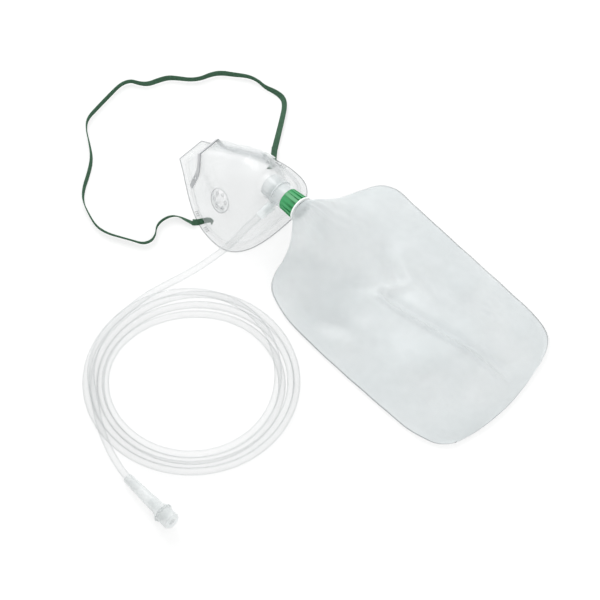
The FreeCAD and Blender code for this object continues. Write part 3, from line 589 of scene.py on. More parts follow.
def line_points(points: Sequence[Point]) -> list[Vector]:
    """The points that a NURBS line through control points really follows.

    Args:
        points: the control points in millimetres.

    Returns:
        Close points in metres, in order.
    """
    bare = mesh_of(route_curve("route", points), "route_line")
    found = [vertex.co.copy() for vertex in bare.data.vertices]
    bpy.data.objects.remove(bare)
    return found


# ---------------------------------------------------------------------------------------------
# the view


@dataclass
class Studio:
    """The camera, the light and the floor.

    Args:
        target: what the camera looks at, in millimetres.
        azimuth: angle round the object in degrees, 0 looking along +Y.
        elevation: angle above the horizon in degrees.
        distance: distance from the target in millimetres.
        field: width of what is seen at the target, in millimetres.
        reach: how far the camera sees, in millimetres.
        floor_half: half the side of the floor, in millimetres.
        floor_tone: how pale the floor is, 0..1.
        floor_clear: how clear the floor looks, so that only faint shadows show, 0..1.
        fade_start: how far out the floor begins to fade, in millimetres.
        fade_end: how far out it has faded away, in millimetres.
        sky_light: strength of the sky as a light; it is seen as plain white.
    """

    target: Point = (-13.0, -58.0, 0.0)
    azimuth: float = 46.2
    elevation: float = 59.5
    distance: float = 12000.0
    field: float = 535.7
    reach: float = 60000.0
    floor_half: float = 30000.0
    floor_tone: float = 0.93
    floor_clear: float = 0.7
    fade_start: float = 700.0
    fade_end: float = 1700.0
    sky_light: float = 0.78

    def build_camera(self) -> None:
        """Sets the scene's camera."""
        a, e = math.radians(self.azimuth), math.radians(self.elevation)
        back = Vector((math.sin(a) * math.cos(e), -math.cos(a) * math.cos(e), math.sin(e)))
        data = bpy.data.cameras.new("camera")
        data.sensor_width = 36.0
        data.lens = data.sensor_width * self.distance / self.field
        data.clip_end = self.reach * MM
        camera = add_object("camera", data)
        camera.location = vec(self.target) + back * self.distance * MM
        camera.rotation_mode = "QUATERNION"
        camera.rotation_quaternion = (-back).to_track_quat("-Z", "Y")
        bpy.context.scene.camera = camera

    def floor_material(self) -> bpy.types.Material:
        """A pale paper that is thin to the eye and fades out far away.

        Returns:
            The new material.
        """
        made = Shader("pale_floor")
        paper = made.add("ShaderNodeBsdfPrincipled")
        paper.inputs["Base Color"].default_value = (self.floor_tone, self.floor_tone, self.floor_tone, 1)
        paper.inputs["Roughness"].default_value = 0.9
        paper.inputs["Specular IOR Level"].default_value = 0.1
        place = made.add("ShaderNodeTexCoord")
        away = made.add("ShaderNodeVectorMath", operation="LENGTH")
        fade = made.add("ShaderNodeMapRange", interpolation_type="SMOOTHSTEP")
        fade.inputs["From Min"].default_value = self.fade_start * MM
        fade.inputs["From Max"].default_value = self.fade_end * MM
        eye = made.add("ShaderNodeLightPath")
        thin = made.add("ShaderNodeMath", operation="MULTIPLY")
        thin.inputs[1].default_value = self.floor_clear
        share = made.add("ShaderNodeMath", operation="MAXIMUM")
        clear = made.add("ShaderNodeBsdfTransparent")
        mix = made.add("ShaderNodeMixShader")
        made.join(place.outputs["Object"], away.inputs[0])
        made.join(away.outputs["Value"], fade.inputs["Value"])
        made.join(eye.outputs["Is Camera Ray"], thin.inputs[0])
        made.join(fade.outputs["Result"], share.inputs[0])
        made.join(thin.outputs[0], share.inputs[1])
        made.join(share.outputs[0], mix.inputs[0])
        made.join(paper.outputs[0], mix.inputs[1])
        made.join(clear.outputs[0], mix.inputs[2])
        made.join(mix.outputs[0], made.output.inputs["Surface"])
        return made.material

    def build_floor(self) -> None:
        """Lays the floor under the object."""
        shape = bmesh.new()
        bmesh.ops.create_grid(shape, x_segments=2, y_segments=2, size=self.floor_half * MM)
        floor = add_mesh("floor", shape, rounded=False)
        floor.data.materials.append(self.floor_material())

    def build_lamp(self, name: str, place: Point, side: float, watts: float) -> None:
        """Hangs one soft square lamp that faces the target.

        Args:
            name: the lamp's name.
            place: where it hangs, in millimetres.
            side: its side, in millimetres.
            watts: its power.
        """
        data = bpy.data.lights.new(name, "AREA")
        data.size = side * MM
        data.energy = watts
        lamp = add_object(name, data)
        lamp.location = vec(place)
        lamp.rotation_mode = "QUATERNION"
        lamp.rotation_quaternion = (vec(self.target) - vec(place)).to_track_quat("-Z", "Y")

    def build_light(self) -> None:
        """Lights the scene with a pale sky and two soft lamps."""
        world = bpy.data.worlds.new("sky")
        bpy.context.scene.world = world
        world.use_nodes = True
        sky = world.node_tree.nodes["Background"]
        sky.inputs["Color"].default_value = (1.0, 1.0, 1.0, 1)
        eye = world.node_tree.nodes.new("ShaderNodeLightPath")
        strength = world.node_tree.nodes.new("ShaderNodeMapRange")
        strength.inputs["To Min"].default_value = self.sky_light
        strength.inputs["To Max"].default_value = 1.0
        world.node_tree.links.new(eye.outputs["Is Camera Ray"], strength.inputs["Value"])
        world.node_tree.links.new(strength.outputs["Result"], sky.inputs["Strength"])
        self.build_lamp("key_lamp", (-1000.0, 300.0, 850.0), 800.0, 12.0)
        self.build_lamp("fill_lamp", (900.0, -500.0, 900.0), 1100.0, 5.0)
        bpy.context.scene.view_settings.view_transform = "Standard"


# ---------------------------------------------------------------------------------------------
# the tubing


LEAD_ROUTE: tuple[Point, ...] = (
    (-78.8, -62.0, 50.2),
    (-82.0, -74.5, 36.5),
    (-88.5, -87.0, 22.5),
    (-94.5, -101.5, 12.0),
    (-100.2, -117.5, 6.0),
    (-105.5, -135.5, 4.2),
    (-109.3, -155.5, 4.2),
)
TAIL_ROUTE: tuple[Point, ...] = (
    (-42.5, -277.5, 10.4),
    (-22.0, -287.5, 8.0),
    (-1.5, -293.8, 5.4),
    (15.5, -296.8, 4.9),
)
# turns from the join, radius of the pass, height of its centre
COIL_PASSES: tuple[tuple[float, float, float], ...] = (
    (0.000, 93.8, 4.2),
    (0.149, 95.2, 3.3),
    (0.399, 92.8, 3.3),
    (0.649, 95.2, 3.3),
    (0.820, 94.6, 3.3),
    (0.900, 92.4, 3.3),
    (1.000, 87.0, 3.3),
    (1.149, 88.4, 3.3),
    (1.290, 88.2, 5.6),
    (1.399, 88.2, 8.2),
    (1.520, 89.2, 8.2),
    (1.649, 90.2, 7.8),
    (1.780, 86.0, 4.4),
    (1.900, 81.2, 3.3),
    (2.000, 80.0, 3.3),
    (2.149, 81.8, 3.3),
    (2.399, 81.8, 3.3),
    (2.649, 82.0, 3.3),
    (2.780, 77.0, 3.3),
    (2.900, 71.2, 3.3),
    (3.000, 72.6, 3.3),
    (3.149, 77.8, 8.6),
    (3.399, 77.8, 8.6),
    (3.620, 77.6, 9.0),
    (3.710, 80.4, 12.4),
    (3.800, 87.0, 12.2),
    (3.900, 91.2, 10.2),
    (4.000, 91.6, 11.2),
    (4.149, 91.2, 9.8),
    (4.190, 88.4, 10.2),
)


@dataclass
class Tubing:
    """The oxygen tubing: its lead from the cuff, its coil and its tail, as one cord.

    Args:
        diameter: outer diameter, in millimetres.
        length: real length, in metres; not used.
        exit: where it leaves the cuff, in millimetres.
        centre: centre of the coil on the floor, in millimetres.
        start_angle: angle at which the lead joins the coil, in degrees.
        points_a_turn: route points in one turn.
        outlet: where it enters the outlet sleeve, in millimetres.
    """

    diameter: float = 6.5
    length: float = 2.5
    exit: Point = (-76.7, -47.3, 56.1)
    centre: tuple[float, float] = (-17.0, -188.0)
    start_angle: float = 172.6
    points_a_turn: int = 18
    outlet: Point = (29.0, -297.9, 6.4)

    def coil(self) -> list[Point]:
        """The route points of the coil.

        Returns:
            Points in millimetres, in order.
        """
        turns = COIL_PASSES[-1][0]
        steps = round(turns * self.points_a_turn)
        points = []
        for step in range(steps + 1):
            turn = turns * step / steps
            radius, height = along(COIL_PASSES, turn)
            angle = math.radians(self.start_angle) + TAU * turn
            points.append(
                (
                    self.centre[0] + radius * math.cos(angle),
                    self.centre[1] + radius * math.sin(angle),
                    height,
                )
            )
        return points

    def route(self) -> list[Point]:
        """The whole route from the cuff to the outlet sleeve, in millimetres."""
        return [self.exit, *LEAD_ROUTE, *self.coil(), *TAIL_ROUTE, self.outlet]

    def build(self, paint: Paint) -> bpy.types.Object:
        """Args:
            paint: the finishes.

        Returns:
            The curve object.
        """
        tube = route_curve("oxygen_tubing", self.route(), self.diameter)
        paint.dress(tube, Slot.TUBING)
        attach(tube, Body.CIRCUIT.value)
        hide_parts("tubing_lead", "tubing_coil", "tubing_tail")
        LOG.info("oxygen tubing: %d route points", len(self.route()))
        return tube


# ---------------------------------------------------------------------------------------------
# the head strap


STRAP_ROUTE: tuple[tuple[float, float], ...] = (
    (-134.5, -72.2),
    (-141.3, -74.8),
    (-149.0, -77.0),
    (-154.6, -82.0),
    (-157.0, -91.0),
    (-155.6, -99.5),
    (-150.0, -105.5),
    (-147.6, -113.0),
    (-151.0, -120.5),
    (-159.0, -124.4),
    (-169.9, -130.2),
    (-180.5, -135.9),
    (-192.5, -138.4),
    (-207.0, -134.3),
    (-220.5, -128.8),
    (-229.5, -119.5),
    (-237.6, -105.6),
    (-247.3, -92.2),
    (-260.5, -82.8),
    (-273.4, -75.0),
    (-280.6, -66.5),
    (-282.6, -52.0),
    (-284.9, -33.0),
    (-286.2, -20.0),
    (-282.8, -10.8),
    (-275.0, -7.2),
    (-269.0, -1.8),
    (-265.8, 7.2),
    (-261.8, 15.8),
    (-254.3, 22.3),
    (-246.5, 28.2),
    (-240.6, 36.0),
    (-237.6, 45.5),
    (-232.6, 53.6),
    (-222.8, 60.8),
    (-212.6, 69.0),
    (-203.4, 72.0),
    (-193.8, 71.8),
    (-184.2, 75.2),
    (-174.8, 76.2),
    (-167.8, 71.6),
    (-159.6, 60.3),
    (-149.6, 45.6),
    (-141.4, 33.4),
)
# share of the strap's length, lean from flat in degrees
STRAP_LEAN: tuple[tuple[float, float], ...] = (
    (0.00, 25.0),
    (0.04, 52.0),
    (0.09, 84.0),
    (0.15, 88.0),
    (0.22, 70.0),
    (0.30, 84.0),
    (0.38, 62.0),
    (0.44, 86.0),
    (0.50, 74.0),
    (0.56, 88.0),
    (0.63, 66.0),
    (0.70, 84.0),
    (0.77, 70.0),
    (0.83, 92.0),
    (0.87, 74.0),
    (0.92, 38.0),
    (0.97, 24.0),
    (1.00, 12.0),
)


@dataclass
class Strap:
    """The elastic head strap that lies in waves round the nose of the mask.

    Args:
        width: width of the elastic, in millimetres.
        thickness: its thickness, in millimetres.
        ribs: lengthwise ribs on each side.
        rib_depth: depth of a rib, in millimetres.
        length: length of the free strap, in metres; not used.
        lift: height of its lower edge over the floor, in millimetres.
    """

    width: float = 5.8
    thickness: float = 1.1
    ribs: int = 5
    rib_depth: float = 0.28
    length: float = 0.484
    lift: float = 0.2

    def profile(self) -> bpy.types.Object:
        """The ribbed section of the elastic.

        Returns:
            A closed curve, to be swept.
        """
        data = bpy.data.curves.new("strap_section", "CURVE")
        data.dimensions = "2D"
        spline = data.splines.new("POLY")
        steps = self.ribs * 8
        spline.points.add(2 * steps - 1)
        for i, slot in enumerate(spline.points):
            side = 1 if i < steps else -1
            share = (i % steps + 0.5) / steps
            across = side * (0.5 - share) * self.width
            ends = (1 - abs(2 * share - 1) ** 6) ** 0.5
            rib = self.rib_depth * (0.5 + 0.5 * math.cos(TAU * self.ribs * share))
            slot.co = (across * MM, side * (self.thickness / 2 - rib) * ends * MM, 0, 1)
        spline.use_cyclic_u = True
        return add_object("strap_section", data)

    def leans(self) -> list[float]:
        """How far the strap leans from flat at each point of its route, in degrees."""
        last = len(STRAP_ROUTE) - 1
        return [along(STRAP_LEAN, i / last)[0] for i in range(last + 1)]

    def route(self) -> list[Point]:
        """The strap's route, at the height that its lean needs.

        Returns:
            Points in millimetres.
        """
        points = []
        for (x, y), lean in zip(STRAP_ROUTE, self.leans()):
            middle = self.width / 2 * math.sin(math.radians(lean)) + self.thickness / 2
            points.append((x, y, middle + self.lift))
        return points

    def sweep(self, name: str, points: Sequence[Point], leans: Sequence[float]) -> bpy.types.Object:
        """Sweeps the elastic's section along a route.

        Args:
            name: the new object's name.
            points: the route in millimetres.
            leans: lean from flat at each point, in degrees.

        Returns:
            The mesh object.
        """
        curve = route_curve(name + "_line", points)
        section = self.profile()
        curve.data.bevel_mode = "OBJECT"
        curve.data.bevel_object = section
        curve.data.use_fill_caps = True
        for slot, lean in zip(curve.data.splines[0].points, leans):
            slot.tilt = math.radians(lean)
        swept = mesh_of(curve, name)
        bpy.data.objects.remove(section)
        return swept

    def build(self, paint: Paint) -> bpy.types.Object:
        """Args:
            paint: the finishes.

        Returns:
            The mesh object.
        """
        points = self.route()
        path = line_points(points)
        strap = self.sweep("elastic_head_strap", points, self.leans())
        paint.dress(strap, Slot.ELASTIC)
        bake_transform(strap)
        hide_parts("head_strap")
        [tail.build(paint, self) for tail in TAILS]
        LOG.info("head strap: %d faces", len(strap.data.polygons))
        return strap


@dataclass
class StrapTail:
    """One end of the strap, which goes through its slot in the rim and lies loose on the shell.

    Args:
        name: the object's name.
        node: the CAD node that it stands for.
        points: its route in millimetres, from the free strap to its loose end.
        leans: lean from flat at each point, in degrees.
    """

    name: str
    node: str
    points: tuple[Point, ...]
    leans: tuple[float, ...]

    def build(self, paint: Paint, strap: Strap) -> bpy.types.Object:
        """Sweeps the strap's section along the tail.

        Args:
            paint: the finishes.
            strap: the strap whose section it has.

        Returns:
            The mesh object.
        """
        tail = strap.sweep(self.name, self.points, self.leans)
        paint.dress(tail, Slot.ELASTIC)
        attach(tail, Body.MASK.value)
        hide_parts(self.node)
        LOG.info("%s: %d faces", self.name, len(tail.data.polygons))
        return tail


TAILS = (
    StrapTail(
        "strap_tail_near",
        "strap_end_near",
        ((-136.5, -73.0, 3.4), (-134.0, -70.6, 3.2), (-132.4, -67.0, 2.6), (-131.0, -64.2, 2.4),
         (-128.2, -61.2, 4.2), (-125.0, -60.2, 5.6), (-122.6, -61.4, 6.0)),
        (25.0, 35.0, 48.0, 60.0, 70.0, 80.0, 66.0),
    ),
    StrapTail(
        "strap_tail_far",
        "strap_end_far",
        ((-142.6, 35.0, 3.2), (-138.6, 30.2, 3.2), (-134.6, 25.8, 3.0), (-131.6, 22.4, 2.6),
         (-129.4, 18.6, 3.4), (-128.6, 14.6, 5.0)),
        (12.0, 16.0, 20.0, 20.0, 24.0, 30.0),
    ),
)


# ---------------------------------------------------------------------------------------------
# the mask's own trim


# shape of the rim's outline: share at which it is widest, then the powers of its swell, fall and chin
RIM_WIDEST = 0.72
RIM_SWELL = 1.15
RIM_FALL = 2.8
RIM_CHIN = 2.6
# half the thickness of the flap that lies on the far vent
FLAP_HALF = 0.3


@dataclass
class MaskTrim:
    """Fine moulded detail of the face piece: its rim bead, vent edges and grip ribs, all coloured a
    darker grey that is painted shade.

    Args:
        nose_x: nose end of the rim.
        length: length of the rim.
        half_width: half the width of the rim.
        nose_half: half the width of its straight nose end.
        centre_y: the mask's plane of symmetry.
        bead: thickness of the bead along the rim's edge.
        bead_height: height of the bead's middle over the floor.
        bead_steps: points along each side of the bead.
        corner: how far the bead rounds each corner of the nose end.
        vent_radius: radius of the vent's seat.
        vent_edge: thickness of the ring round the seat.
        hole_circle: circle that the holes lie on.
        hole_radius: radius of one hole.
        hole_edge: thickness of the ring round a hole.
        holes: number of holes.
        ring_points: points round one ring.
        slot_from_nose: distance from the nose end to the middle of the strap slots.
        rib_offsets: places of the grip ribs along the rim, from the slot.
        rib_size: length, width and height of a rib.
        rib_inset: distance of the ribs in from the rim's edge.
        rib_height: height of a rib's middle over the floor.
        rib_edge: bevel of a rib.
    """

    nose_x: float = -194.0
    length: float = 116.0
    half_width: float = 52.0
    nose_half: float = 14.0
    centre_y: float = -21.0
    bead: float = 0.8
    bead_height: float = 0.85
    bead_steps: int = 44
    corner: float = 0.8
    vent_radius: float = 11.5
    vent_edge: float = 0.5
    hole_circle: float = 7.0
    hole_radius: float = 1.3
    hole_edge: float = 0.45
    holes: int = 6
    ring_points: int = 24
    slot_from_nose: float = 62.0
    rib_offsets: tuple[float, ...] = (-11.0, -9.0, -7.0, 6.5, 8.5, 10.5)
    rib_size: Point = (0.7, 3.4, 0.5)
    rib_inset: float = 3.4
    rib_height: float = 1.35
    rib_edge: float = 0.12

    def half_at(self, share: float) -> float:
        """Half width of the rim.

        Args:
            share: 0 at the nose end to 1 at the chin.

        Returns:
            The half width in millimetres.
        """
        nose_share = self.nose_half / self.half_width
        rise = math.sin(math.pi / 2 * min(share / RIM_WIDEST, 1.0)) ** RIM_SWELL
        fall = (max(share - RIM_WIDEST, 0.0) / (1 - RIM_WIDEST)) ** RIM_FALL
        chin = max(0.0, 1 - fall) ** (1 / RIM_CHIN)
        return self.half_width * (nose_share + (1 - nose_share) * rise) * chin

    def rim_point(self, share: float, side: int, inset: float, height: float) -> Point:
        """A point of the rim at a share of its length, in from one side's edge and over the floor."""
        across = max(self.half_at(share) - inset, 0.0)
        return (self.nose_x + share * self.length, self.centre_y + side * across, height)

    def build_bead(self, paint: Paint) -> bpy.types.Object:
        """Makes the rounded bead along the rim's edge.

        Args:
            paint: the finishes.

        Returns:
            The mesh object.
        """
        steps = self.bead_steps
        shares = [math.sin(math.pi / 2 * k / steps) for k in range(steps + 1)]
        inset, height = self.bead / 2, self.bead_height
        nose_x = self.nose_x + inset
        far = [self.rim_point(share, 1, inset, height) for share in shares]
        near = [self.rim_point(share, -1, inset, height) for share in reversed(shares[:-1])]
        half = self.nose_half - inset
        spread = [-half + self.corner, -half * 0.6, 0.0, half * 0.6, half - self.corner]
        end = [(nose_x, self.centre_y + across, height) for across in spread]
        far[0] = (nose_x, far[0][1], height)
        near[-1] = (nose_x, near[-1][1], height)
        side_start = 0.008
        corners = []
        for side in (1, -1):
            across = self.rim_point(side_start, side, inset, height)[1]
            corners.append((nose_x + self.corner, across, height))
        line = far[:1] + corners[:1] + far[1:] + near[:-1] + corners[1:] + near[-1:] + end
        bead = mesh_of(route_curve("rim_line", line, self.bead, closed=True), "rim_bead")
        # the bead gets the darker grey: painted shade for the dark line along the rim's edge
        paint.dress_shaded_edge(bead)
        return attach(bead, Body.MASK.value)

    def build_ring(
        self, name: str, place: Matrix, radius: float, width: float, paint: Paint
    ) -> bpy.types.Object:
        """Makes one thin moulded ring.

        Args:
            name: the object's name.
            place: where its middle is and which way it faces, in millimetres.
            radius: its radius.
            width: its thickness.
            paint: the finishes.

        Returns:
            The mesh object.
        """
        points = []
        for k in range(self.ring_points):
            turn = TAU * k / self.ring_points
            points.append(tuple(place @ Vector((radius * math.cos(turn), radius * math.sin(turn), 0))))
        ring = mesh_of(route_curve(name + "_line", points, width, closed=True), name)
        # each ring gets the darker grey: painted shade along a vent's edge, painted shadow inside a hole
        paint.dress_shaded_edge(ring)
        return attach(ring, Body.MASK.value)

    def build_vents(self, paint: Paint) -> None:
        """Makes the edges of both vents and of the near vent's holes, in the darker grey of painted shade
        and painted shadow.

        Args:
            paint: the finishes.
        """
        for side, label in ((-1, "near"), (1, "far")):
            seat = seat_middle(side)
            turned = vent_normal(side).to_track_quat("Z", "Y").to_matrix().to_4x4()
            place = Matrix.Translation(seat) @ turned
            edge_radius = self.vent_radius - self.vent_edge * 0.4
            self.build_ring("vent_edge_" + label, place, edge_radius, self.vent_edge, paint)
            for k in range(self.holes):
                turn = TAU * (k + 0.5) / self.holes
                around = Vector((math.cos(turn), math.sin(turn), 0)) * self.hole_circle
                here = Matrix.Translation(place @ around) @ turned
                name = f"vent_hole_{label}_{k}"
                # the ring round each hole is painted shadow inside the hole
                self.build_ring(name, here, self.hole_radius + 0.1, self.hole_edge, paint)

    def build_ribs(self, paint: Paint) -> None:
        """Makes the short grip ribs moulded in the rim on both sides of each slot.

        Args:
            paint: the finishes.
        """
        for side, label in ((-1, "near"), (1, "far")):
            shape = bmesh.new()
            for offset in self.rib_offsets:
                share = (self.slot_from_nose + offset) / self.length
                middle = self.rim_point(share, side, self.rib_inset, self.rib_height)
                ahead = self.rim_point(share + 0.02, side, self.rib_inset, self.rib_height)
                lean = math.atan2(ahead[1] - middle[1], ahead[0] - middle[0])
                size = Matrix.Diagonal((*vec(self.rib_size), 1))
                place = Matrix.Translation(vec(middle)) @ Matrix.Rotation(lean, 4, "Z") @ size
                bmesh.ops.create_cube(shape, size=1.0, matrix=place)
            bmesh.ops.bevel(
                shape, geom=shape.edges[:], offset=self.rib_edge * MM, segments=2, profile=0.5,
                affect="EDGES", material=-1,
            )
            ribs = add_mesh("rim_ribs_" + label, shape)
            # the ribs get the darker grey: painted shade for the dark lines along their edges
            paint.dress_shaded_edge(ribs)
            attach(ribs, Body.MASK.value)

    def build(self, paint: Paint) -> None:
        """Makes all the trim.

        Args:
            paint: the finishes.
        """
        self.build_bead(paint)
        self.build_vents(paint)
        self.build_ribs(paint)
        LOG.info("mask trim: bead, vents and ribs")


def vent_normal(side: int) -> Vector:
    """The unit vector out of the vent on one side, -1 near or 1 far."""
    return Vector((-0.12, side * 0.88, 0.46)).normalized()


def seat_middle(side: int) -> Vector:
    """The middle of a vent's seat.

    Args:
        side: -1 near or 1 far.

    Returns:
        The point in millimetres, read from the flap that lies on the far seat and mirrored.
    """
    low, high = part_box("exhalation_flap")
    seat = (low + high) / 2 / MM - vent_normal(1) * FLAP_HALF
    return seat if side > 0 else Vector((seat.x, 2 * MaskTrim.centre_y - seat.y, seat.z))


# ---------------------------------------------------------------------------------------------
# the reservoir bag


# station down the bag, then the far edge's x, y, z
FAR_EDGE: tuple[tuple[float, ...], ...] = (
    (0.00, -49.6, -9.5, 70.0),
    (0.04, -49.0, -4.0, 66.0),
    (0.09, -50.5, 10.0, 51.0),
    (0.14, -52.0, 31.0, 29.0),
    (0.19, -51.5, 56.0, 13.0),
    (0.24, -46.5, 74.5, 6.0),
    (0.29, -33.5, 83.0, 3.6),
    (0.35, -14.0, 83.2, 3.0),
    (0.50, 40.0, 82.6, 3.0),
    (0.70, 112.0, 82.0, 3.0),
    (0.82, 146.0, 80.8, 3.0),
    (0.89, 165.0, 76.0, 3.0),
    (0.94, 176.0, 66.0, 3.0),
    (0.975, 183.5, 50.0, 3.0),
    (1.00, 188.0, 34.0, 3.0),
)
NEAR_EDGE: tuple[tuple[float, ...], ...] = (
    (0.00, -49.6, -32.5, 70.0),
    (0.04, -46.5, -35.5, 63.0),
    (0.09, -43.5, -41.0, 43.0),
    (0.14, -43.0, -49.5, 25.0),
    (0.19, -43.0, -61.0, 12.0),
    (0.24, -35.5, -71.6, 5.5),
    (0.29, -16.0, -79.0, 3.6),
    (0.35, 4.0, -82.5, 3.0),
    (0.50, 50.0, -84.3, 3.0),
    (0.70, 112.0, -83.8, 3.0),
    (0.82, 150.0, -82.4, 3.0),
    (0.89, 168.0, -78.4, 3.0),
    (0.94, 181.0, -72.4, 3.0),
    (0.975, 189.5, -62.0, 3.0),
    (1.00, 193.0, -48.0, 3.0),
)
# station, then the middle of the bag: x, y, height of the upper film, height of the lower film
SPINE: tuple[tuple[float, ...], ...] = (
    (0.00, -49.6, -21.0, 81.5, 58.5),
    (0.04, -44.0, -20.5, 79.5, 55.5),
    (0.09, -36.0, -18.5, 71.0, 43.0),
    (0.14, -27.0, -15.5, 58.0, 24.0),
    (0.19, -17.5, -11.5, 46.0, 11.0),
    (0.24, -6.0, -7.5, 35.5, 4.0),
    (0.29, 8.0, -4.0, 27.0, 1.0),
    (0.35, 22.0, -2.0, 21.5, 0.6),
    (0.50, 60.0, -1.0, 18.5, 0.5),
    (0.70, 117.0, -1.0, 18.0, 0.5),
    (0.82, 150.0, -2.0, 15.5, 0.6),
    (0.89, 171.0, -4.0, 12.0, 0.8),
    (0.94, 184.0, -6.0, 8.0, 1.5),
    (0.975, 191.5, -7.0, 4.6, 2.4),
    (1.00, 195.5, -8.0, 3.0, 3.0),
)
# soft dents and swells of the upper film: x, y, long and wide reach, turn in degrees, lift
DENTS: tuple[tuple[float, ...], ...] = (
    (27.0, -56.0, 30.0, 11.0, 20.0, -5.04),
    (52.0, -44.0, 24.0, 9.0, 10.0, 2.8),
    (30.0, 16.0, 26.0, 8.0, -28.0, -4.76),
    (44.0, 4.0, 13.0, 5.0, 62.0, 3.64),
    (60.0, 20.0, 24.0, 6.0, -8.0, 2.52),
    (108.0, 54.0, 32.0, 9.0, 12.0, -4.2),
    (96.0, 36.0, 30.0, 8.0, 8.0, 2.52),
    (16.0, -20.0, 20.0, 7.0, 35.0, -2.8),
    (168.0, 30.0, 14.0, 8.0, 60.0, -2.52),
    (120.0, -40.0, 46.0, 20.0, 12.0, 2.8),
)
# the two ends of the long sharp crease
CREASE: tuple[tuple[float, float], tuple[float, float]] = ((35.0, -13.0), (184.0, 14.0))


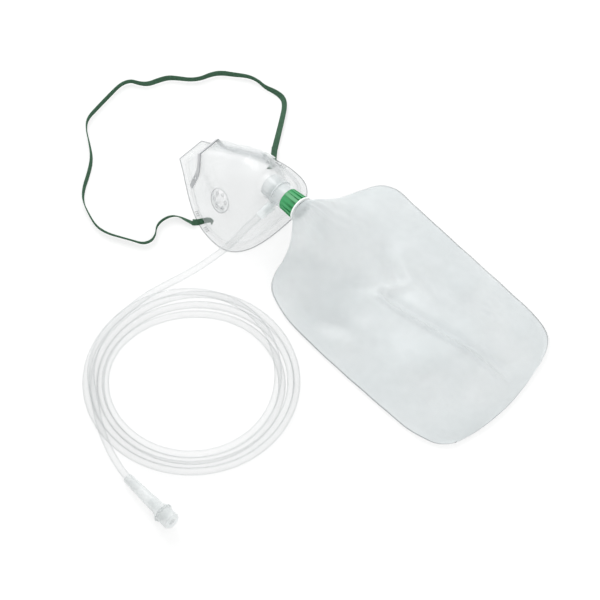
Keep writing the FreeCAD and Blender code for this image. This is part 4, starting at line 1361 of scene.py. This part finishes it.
@dataclass
class Bag:
    """The reservoir bag: two films welded round their edge, gathered on the neck.

    Args:
        stations: mesh rows from the neck to the foot.
        columns: mesh columns right round the bag.
        weld: width of the welded edge, in millimetres.
        foot_run: distance from the foot for one whole unit of station, in millimetres.
        pleats: pleats gathered round each film's half of the neck.
        pleat_depth: depth of a pleat, in millimetres.
        broad: depth of the broad unevenness of the film, in millimetres.
        fine: depth of its fine unevenness, in millimetres.
        crease: height of the long crease's ridge, in millimetres.
        ridge: half width of the crease's ridge, in millimetres.
        valley: half width of the valley beside it, in millimetres.
        valley_off: distance from the ridge to the valley, in millimetres.
        ripple: height of the ripple along the weld, in millimetres.
        lowest: height of the lowest film over the floor, in millimetres.
    """

    stations: int = 130
    columns: int = 168
    weld: float = 5.0
    foot_run: float = 420.0
    pleats: int = 9
    pleat_depth: float = 1.0
    broad: float = 2.0
    fine: float = 0.35
    crease: float = 4.0
    ridge: float = 1.7
    valley: float = 4.5
    valley_off: float = 6.0
    ripple: float = 0.3
    lowest: float = 0.5

    def place(self, station: float, around: float) -> tuple[Point, float]:
        """Where a point of the film lies.

        Args:
            station: 0 at the neck to 1 at the foot.
            around: share of the way round, from the far weld over the top.

        Returns:
            The point in millimetres, and its distance in from the weld's outer edge.
        """
        far, near = along(FAR_EDGE, station), along(NEAR_EDGE, station)
        x_mid, y_mid, above, below = along(SPINE, station)
        upper = around < 0.5
        half_turn = around * 2 if upper else (1 - around) * 2
        open_share = smooth((station - 0.02) / 0.20)
        round_side = math.cos(math.pi * half_turn)
        flat_side = 1 - 2 * half_turn
        side = round_side + (flat_side - round_side) * open_share
        middle = [(f + n) / 2 for f, n in zip(far, near)]
        reach = [(f - n) / 2 for f, n in zip(far, near)]
        crown = max(1 - side * side, 0.0)
        bow = crown ** (0.5 + 0.75 * open_share)
        level = above if upper else below
        x = middle[0] + side * reach[0] + crown * (x_mid - middle[0])
        y = middle[1] + side * reach[1] + crown * (y_mid - middle[1])
        z = middle[2] + side * reach[2] + bow * (level - middle[2])
        half_width = math.hypot(reach[0], reach[1])
        edge = min((1 - abs(side)) * half_width, (1 - station) * self.foot_run)
        return (x, y, z), edge

    def folds(self, station: float, around: float, point: Point, edge: float) -> float:
        """How far pleats, dents, unevenness and the crease lift the upper film.

        Args:
            station: 0 at the neck to 1 at the foot.
            around: share of the way round.
            point: where the film lies, in millimetres.
            edge: distance in from the weld's outer edge, in millimetres.

        Returns:
            The lift in millimetres.
        """
        x, y, _ = point
        inward = smooth((edge - self.weld) / 14.0)
        body = smooth((station - 0.2) / 0.2)
        lift = self.dent(x, y) + self.unevenness(x, y) * body + self.creased(x, y)
        return self.pleat(station, around) * smooth(edge / 7.0) + lift * inward

    def dent(self, x: float, y: float) -> float:
        """The soft dents and swells.

        Args:
            x: place along the bag, in millimetres.
            y: place across the bag, in millimetres.

        Returns:
            The lift in millimetres.
        """
        lift = 0.0
        for mid_x, mid_y, long, wide, turn, depth in DENTS:
            here = Matrix.Rotation(-math.radians(turn), 2) @ Vector((x - mid_x, y - mid_y))
            lift += depth * math.exp(-((here.x / long) ** 2) - (here.y / wide) ** 2)
        return lift

    def unevenness(self, x: float, y: float) -> float:
        """The broad and the fine unevenness of slack film.

        Args:
            x: place along the bag, in millimetres.
            y: place across the bag, in millimetres.

        Returns:
            The lift in millimetres.
        """
        broad = noise.noise(Vector((x / 48.0, y / 36.0, 3.7)))
        fine = noise.noise(Vector((x / 17.0, y / 12.0, 8.1)))
        return self.broad * broad + self.fine * fine

    def creased(self, x: float, y: float) -> float:
        """The long crease: a sharp ridge that wavers, with a soft valley on its far side.

        Args:
            x: place along the bag, in millimetres.
            y: place across the bag, in millimetres.

        Returns:
            The lift in millimetres.
        """
        start, end = Vector(CREASE[0]), Vector(CREASE[1])
        run = end - start
        here = Vector((x, y)) - start
        share = here.dot(run) / run.length_squared
        off = (run.x * here.y - run.y * here.x) / run.length + 1.6 * math.sin(share * 7.0)
        strength = smooth(share / 0.05) * (1 - smooth((share - 0.82) / 0.18))
        ridge = math.exp(-((off / self.ridge) ** 2))
        valley = math.exp(-(((off - self.valley_off) / self.valley) ** 2))
        return self.crease * strength * (ridge - 0.8 * valley)

    def pleat(self, station: float, around: float) -> float:
        """The uneven pleats that the neck gathers the film into.

        Args:
            station: 0 at the neck to 1 at the foot.
            around: share of the way round.

        Returns:
            The lift in millimetres.
        """
        fade = smooth((station - 0.01) / 0.06) * (1 - smooth((station - 0.07) / 0.17))
        phase = TAU * self.pleats * around * 2 + 2.4 * math.sin(TAU * around * 3 + 1.0 + station * 6)
        uneven = 0.45 + 0.55 * noise.noise(Vector((around * 14.0, station * 5.0, 2.2)))
        long_fold = noise.noise(Vector((around * 9.0, station * 2.0, 6.4)))
        reach = smooth(station / 0.05) * (1 - smooth((station - 0.16) / 0.2))
        return self.pleat_depth * (fade * uneven * math.sin(phase) + 1.3 * reach * long_fold)

    def build_shell(self) -> bpy.types.Object:
        """Makes the bag's shell from one grid that is rolled up and welded.

        Returns:
            The mesh object.
        """
        shape = bmesh.new()
        bmesh.ops.create_grid(shape, x_segments=self.stations, y_segments=self.columns, size=0.5)
        band = shape.verts.layers.float.new("weld")
        for vert in shape.verts:
            station, around = vert.co.x + 0.5, vert.co.y + 0.5
            point, edge = self.place(station, around % 1.0)
            upper = around % 1.0 < 0.5
            lift = self.folds(station, around, point, edge) if upper else 0.0
            x, y, z = point
            vert[band] = 1 - smooth((edge - self.weld + 0.8) / 1.2) if station > 0.05 else 0.0
            wave = self.ripple * math.sin(x / 5.5 + y / 9.0) * smooth((station - 0.3) / 0.2) * vert[band]
            vert.co = vec((x, y, max(z + lift + wave, self.lowest)))
        bmesh.ops.remove_doubles(shape, verts=shape.verts, dist=0.05 * MM)
        return add_mesh("reservoir_bag", shape)

    def build(self, paint: Paint) -> bpy.types.Object:
        """Makes the bag.

        Args:
            paint: the finishes.

        Returns:
            The mesh object.
        """
        bag = self.build_shell()
        paint.dress(bag, Slot.FILM)
        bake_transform(bag)
        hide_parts("bag_upper_film", "bag_lower_film")
        LOG.info("reservoir bag: %d faces", len(bag.data.polygons))
        return bag


# ---------------------------------------------------------------------------------------------
# putting it together


def main() -> None:
    """Builds the looks in order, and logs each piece."""
    logging.basicConfig(level=logging.INFO, format="%(message)s")
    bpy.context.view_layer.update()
    studio = Studio()
    studio.build_camera()
    paint = Paint()
    paint.dress_frame()
    Tubing().build(paint)
    Strap().build(paint)
    MaskTrim().build(paint)
    Bag().build(paint)
    studio.build_floor()
    studio.build_light()


if __name__ == "__main__":
    main()
